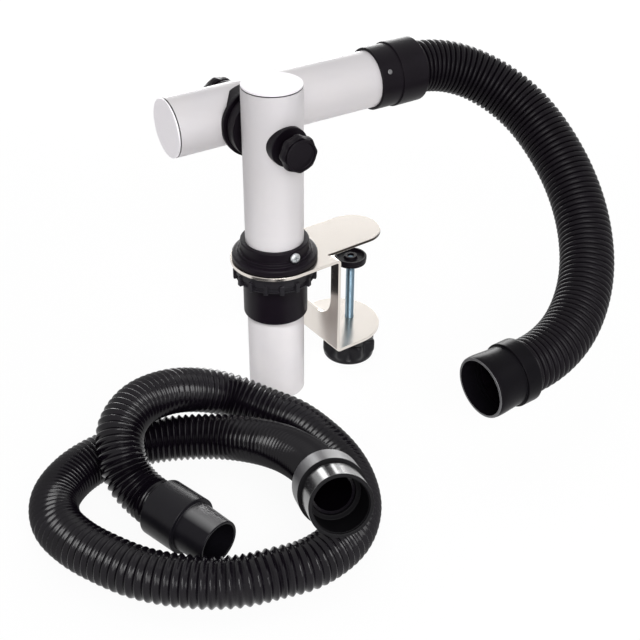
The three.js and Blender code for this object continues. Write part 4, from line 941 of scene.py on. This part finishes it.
# Cuff rivet: blind rivet with a low domed head, through the cuff and the tube's wall.
# Black plastic, its head given the grey painted sheen: a pale grey dot that is a painted glint.
RIVET_X = 133.7
RIVET_UP = 28.3
RIVET_ROWS = [
    (0, 22.5), (1.4, 22.5), (1.4, 27.9), (2.3, 27.9, 0.1), (2.2, 28.3, 0.3), (1.6, 28.7, 0.4), (0, 28.8),
]
rivet_place = arm_place @ at(RIVET_X, ARM_OFFSET, 0) @ Matrix.Rotation(radians(90 - RIVET_UP), 4, "X")
rivet = turned("cuff_blind_rivet", RIVET_ROWS, painted_sheen_pvc, rivet_place, 32)
fit(rivet, "arm", "black_plastic", "cuff_rivet")

# Flexible arm: stay-put ribbed tube that holds the bend it is pushed into, one leaning curve.
# Black polypropylene lamellae snapped over each other; drawn as lengths that meet halfway round each arc.
FLEX_R = 23.25
FLEX_BORE = 18.5
FLEX_START = 149.5
FLEX_STRAIGHT = 25.8
FLEX_ARC = 68.6
FLEX_TURNS = [49, 34, 19.2, 19.2, 23.6, 32]
FLEX_END_STRAIGHT = 32.7
FLEX_LEAN = 57
FLEX_PITCH = 5.2
FLEX_REACH = 22
FLEX_FIRST_REACH = 8
FLEX_SIDES = 72
RIB_SECTION = [
    (0, 2.3), (0.07, 1.5), (0.16, 0.55), (0.28, 0.12), (0.45, 0), (0.64, 0.2), (0.82, 0.75), (0.93, 1.5),
]
flex_plane = Vector((0, -sin(radians(FLEX_LEAN)), -cos(radians(FLEX_LEAN))))
flex_normal = Vector((1, 0, 0)).cross(flex_plane)
flex_turn = arm_place.to_3x3()


def flex_frame(travel):
    """Centre, two cross directions and heading after so much travel along the flexible arm."""
    x, y, heading = FLEX_START, 0.0, 0.0
    legs = [(FLEX_STRAIGHT, 0)] + [(FLEX_ARC, radians(t)) for t in FLEX_TURNS] + [(FLEX_END_STRAIGHT, 0)]
    for length, bend in legs:
        part = min(max(travel, 0), length)
        if bend:
            after = heading + bend * part / length
            x += (sin(after) - sin(heading)) * length / bend
            y += (cos(heading) - cos(after)) * length / bend
            heading = after
        else:
            x += part * cos(heading)
            y += part * sin(heading)
        travel -= part
        if travel <= 0:
            break
    forward = Vector((cos(heading), 0, 0)) + flex_plane * sin(heading)
    centre = arm_place @ ((Vector((x, ARM_OFFSET, 0)) + flex_plane * y) * MM) / MM
    return centre, flex_turn @ flex_normal, flex_turn @ forward.cross(flex_normal), flex_turn @ forward


# Polypropylene with a dry moulded skin: satin black, a broad soft sheen on every lamella.
satin_lamella = moulded(
    "satin_black_polypropylene", "#0a070b", "#110d13", 0.36, 0.1, grain=0.6, blotch=16, relief=0.1
)
flex_hinges = len(FLEX_TURNS)
flex_total = FLEX_STRAIGHT + FLEX_ARC * flex_hinges + FLEX_END_STRAIGHT
flex_seams = [0] + [FLEX_STRAIGHT + FLEX_ARC * (k + 0.5) for k in range(flex_hinges)] + [flex_total]
for k in range(flex_hinges + 1):
    low, high = flex_seams[k], flex_seams[k + 1]
    ribs = round((high - low) / FLEX_PITCH)
    flex_rings = []
    for rib in range(ribs):
        for share, depth in RIB_SECTION:
            spot = flex_frame(low + (high - low) * (rib + share) / ribs)
            flex_rings.append((*spot[:3], FLEX_R - depth))
    flex_rings.append((*flex_frame(high)[:3], FLEX_R - RIB_SECTION[0][1]))
    length = ribbed_tube(f"flexible_arm_length_{k + 1}", flex_rings, FLEX_BORE, FLEX_SIDES, satin_lamella)
    if k < flex_hinges:
        hinge = FLEX_STRAIGHT + FLEX_ARC * k
        near = FLEX_REACH if k else FLEX_FIRST_REACH
        start, end = flex_frame(hinge - near)[0] * MM, flex_frame(hinge + FLEX_REACH)[0] * MM
        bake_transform(length)
        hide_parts(f"flex_length_{k + 1}")
    else:
        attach(length, "flex_6")

# Nozzle cuff: collar over the flexible arm's end, a step, and an open mouth with a rounded lip.
# Moulded black PVC, pushed on; the lip is painted grey, a painted highlight.
NOZZLE_ROWS = [
    (23.65, -24.7), (26.95, -24.7, 1.6), (26.95, -10.4, 0.7), (25.1, -10.4, 0.5), (25.05, -6), (25.2, -2.5),
    (25.5, 2), (25.9, 7), (26.1, 11), (26.05, 14), (25.8, 16), (25.4, 16.8, 0.2), (25, 17, 0.2),
    (23.3, 17, 0.4), (23.3, 2.8), (21, 2.8), (21, 0.3), (23.65, 0.3),
]
NOZZLE_RIM = 16.4
NOZZLE_BORE = 23.4
# PVC with a smooth skin: as black as the flexible arm, with a tighter, weaker sheen.
soft_sheen_pvc = moulded("sheen_black_pvc", "#09080b", "#121014", 0.3, 0.05, grain=1, blotch=20, relief=0.08)
nozzle_spot = flex_frame(flex_total)
nozzle_turn = Matrix((nozzle_spot[1], nozzle_spot[2], nozzle_spot[3])).transposed().to_4x4()
nozzle_place = at(*nozzle_spot[0]) @ nozzle_turn
nozzle = turned("nozzle_cuff_moulding", NOZZLE_ROWS, soft_sheen_pvc, nozzle_place, FINE_SIDES)
# The lip's face gets the painted grey sheen: a painted highlight.
paint(nozzle, nozzle_place, painted_sheen_pvc, lambda spot: (
    spot.z > NOZZLE_RIM and spot.xy.length > NOZZLE_BORE
))
fit(nozzle, "flex_6", "black_plastic", "nozzle_cuff")

# Floor: a wide white table top under the column's foot and the hose. Laminate that lights the object
# from below, but is shown as plain white with only a trace of the shadows.
FLOOR_Z = -133.8
FLOOR_HALF = 1500
FLOOR_WHITE = 0.94


def seen_rays(tree):
    """1 for rays that show the white set: from the camera, off a gloss or through something clear."""
    path = add_node(tree, "ShaderNodeLightPath").outputs
    seen = path["Is Camera Ray"]
    for name in ("Is Glossy Ray", "Is Transmission Ray"):
        seen = add_node(tree, "ShaderNodeMath", {0: seen, 1: path[name]}, operation="MAXIMUM").outputs[0]
    return seen


# White laminate: matt, and plain white to the eye.
table_white = new_material("white_table_laminate")
sockets(table_white)["Base Color"].default_value = linear("#f4f4f4")
sockets(table_white)["Roughness"].default_value = 0.9
floor_tree = table_white.node_tree
floor_glow = add_node(floor_tree, "ShaderNodeEmission", Color=(1, 1, 1, 1), Strength=1)
floor_seen = add_node(floor_tree, "ShaderNodeMath", {0: seen_rays(floor_tree)}, operation="MULTIPLY")
floor_seen.inputs[1].default_value = FLOOR_WHITE
floor_mix = add_node(floor_tree, "ShaderNodeMixShader", {
    0: floor_seen.outputs[0],
    1: floor_tree.nodes["Principled BSDF"].outputs[0],
    2: floor_glow.outputs[0],
})
floor_tree.links.new(floor_mix.outputs[0], floor_tree.nodes["Material Output"].inputs["Surface"])
floor_points = [(-FLOOR_HALF, -FLOOR_HALF, FLOOR_Z), (FLOOR_HALF, -FLOOR_HALF, FLOOR_Z)]
floor_points += [(FLOOR_HALF, FLOOR_HALF, FLOOR_Z), (-FLOOR_HALF, FLOOR_HALF, FLOOR_Z)]
table_top = make_piece("table_top", floor_points, [(0, 1, 2, 3)], table_white)

# Light: a white studio. The room is plain white to the eye and in glosses, and lights the object mostly
# from behind and above; soft boxes stand over the camera, overhead and low behind.
ROOM_BRIGHT_WAY = (0.49, 0.67, 0.557)
ROOM_LEVELS = {"From Min": 0.2, "From Max": 0.8, "To Min": 0.12, "To Max": 0.85}
studio = bpy.data.worlds.new("white_studio")
bpy.context.scene.world = studio
studio.use_nodes = True
room = studio.node_tree
room_way = add_node(room, "ShaderNodeTexCoord").outputs["Generated"]
room_back = add_node(room, "ShaderNodeVectorMath", {0: room_way}, operation="DOT_PRODUCT")
room_back.inputs[1].default_value = ROOM_BRIGHT_WAY
room_level = add_node(room, "ShaderNodeMapRange", {"Value": room_back.outputs["Value"]}, **ROOM_LEVELS)
room_strength = add_node(room, "ShaderNodeMath", {
    0: room_level.outputs["Result"], 1: seen_rays(room),
}, operation="MAXIMUM")
room.nodes["Background"].inputs["Color"].default_value = (1, 1, 1, 1)
room.links.new(room_strength.outputs[0], room.nodes["Background"].inputs["Strength"])


def hang(lamp, place, aim):
    """Hangs a lamp at a point, turned to another and out of the camera's sight."""
    hung = bpy.data.objects.new(lamp.name, lamp)
    hung.location = Vector(place) * MM
    hung.visible_camera = False
    hung.rotation_euler = (Vector(aim) - Vector(place)).to_track_quat("-Z", "Y").to_euler()
    bpy.context.collection.objects.link(hung)
    return hung


def soft_box(name, place, aim, width, depth, power):
    """Rectangular lamp at a point, turned to another, both in millimetres, its power in watts."""
    lamp = bpy.data.lights.new(name, "AREA")
    lamp.shape = "RECTANGLE"
    lamp.size = width * MM
    lamp.size_y = depth * MM
    lamp.energy = power
    hang(lamp, place, aim)


soft_box("front_soft_box", (-640, -1150, 870), (-100, 0, 30), 800, 600, 15)
soft_box("low_soft_box", (-250, -1000, 150), (-80, 0, -60), 500, 300, 2)
soft_box("top_soft_box", (-150, 100, 1300), (-100, -50, 0), 900, 700, 2)
soft_box("back_soft_box", (700, 1100, 150), (-120, -80, 0), 1400, 550, 15)
soft_box("right_soft_box", (900, -700, 700), (0, 0, 0), 700, 700, 1)
# Narrow lamp on the column's foot, where the dark hose keeps the table's light away; it leaves no glint.
FOOT_SPOT_ANGLE = 14
FOOT_SPOT_SIZE = 60
foot_lamp = bpy.data.lights.new("foot_spot", "SPOT")
foot_lamp.energy = 17
foot_lamp.spot_size = radians(FOOT_SPOT_ANGLE)
foot_lamp.spot_blend = 0.7
foot_lamp.shadow_soft_size = FOOT_SPOT_SIZE * MM
hang(foot_lamp, (-330, -250, 390), (-82, 0, -100)).visible_glossy = False
bpy.context.scene.view_settings.view_transform = "Standard"
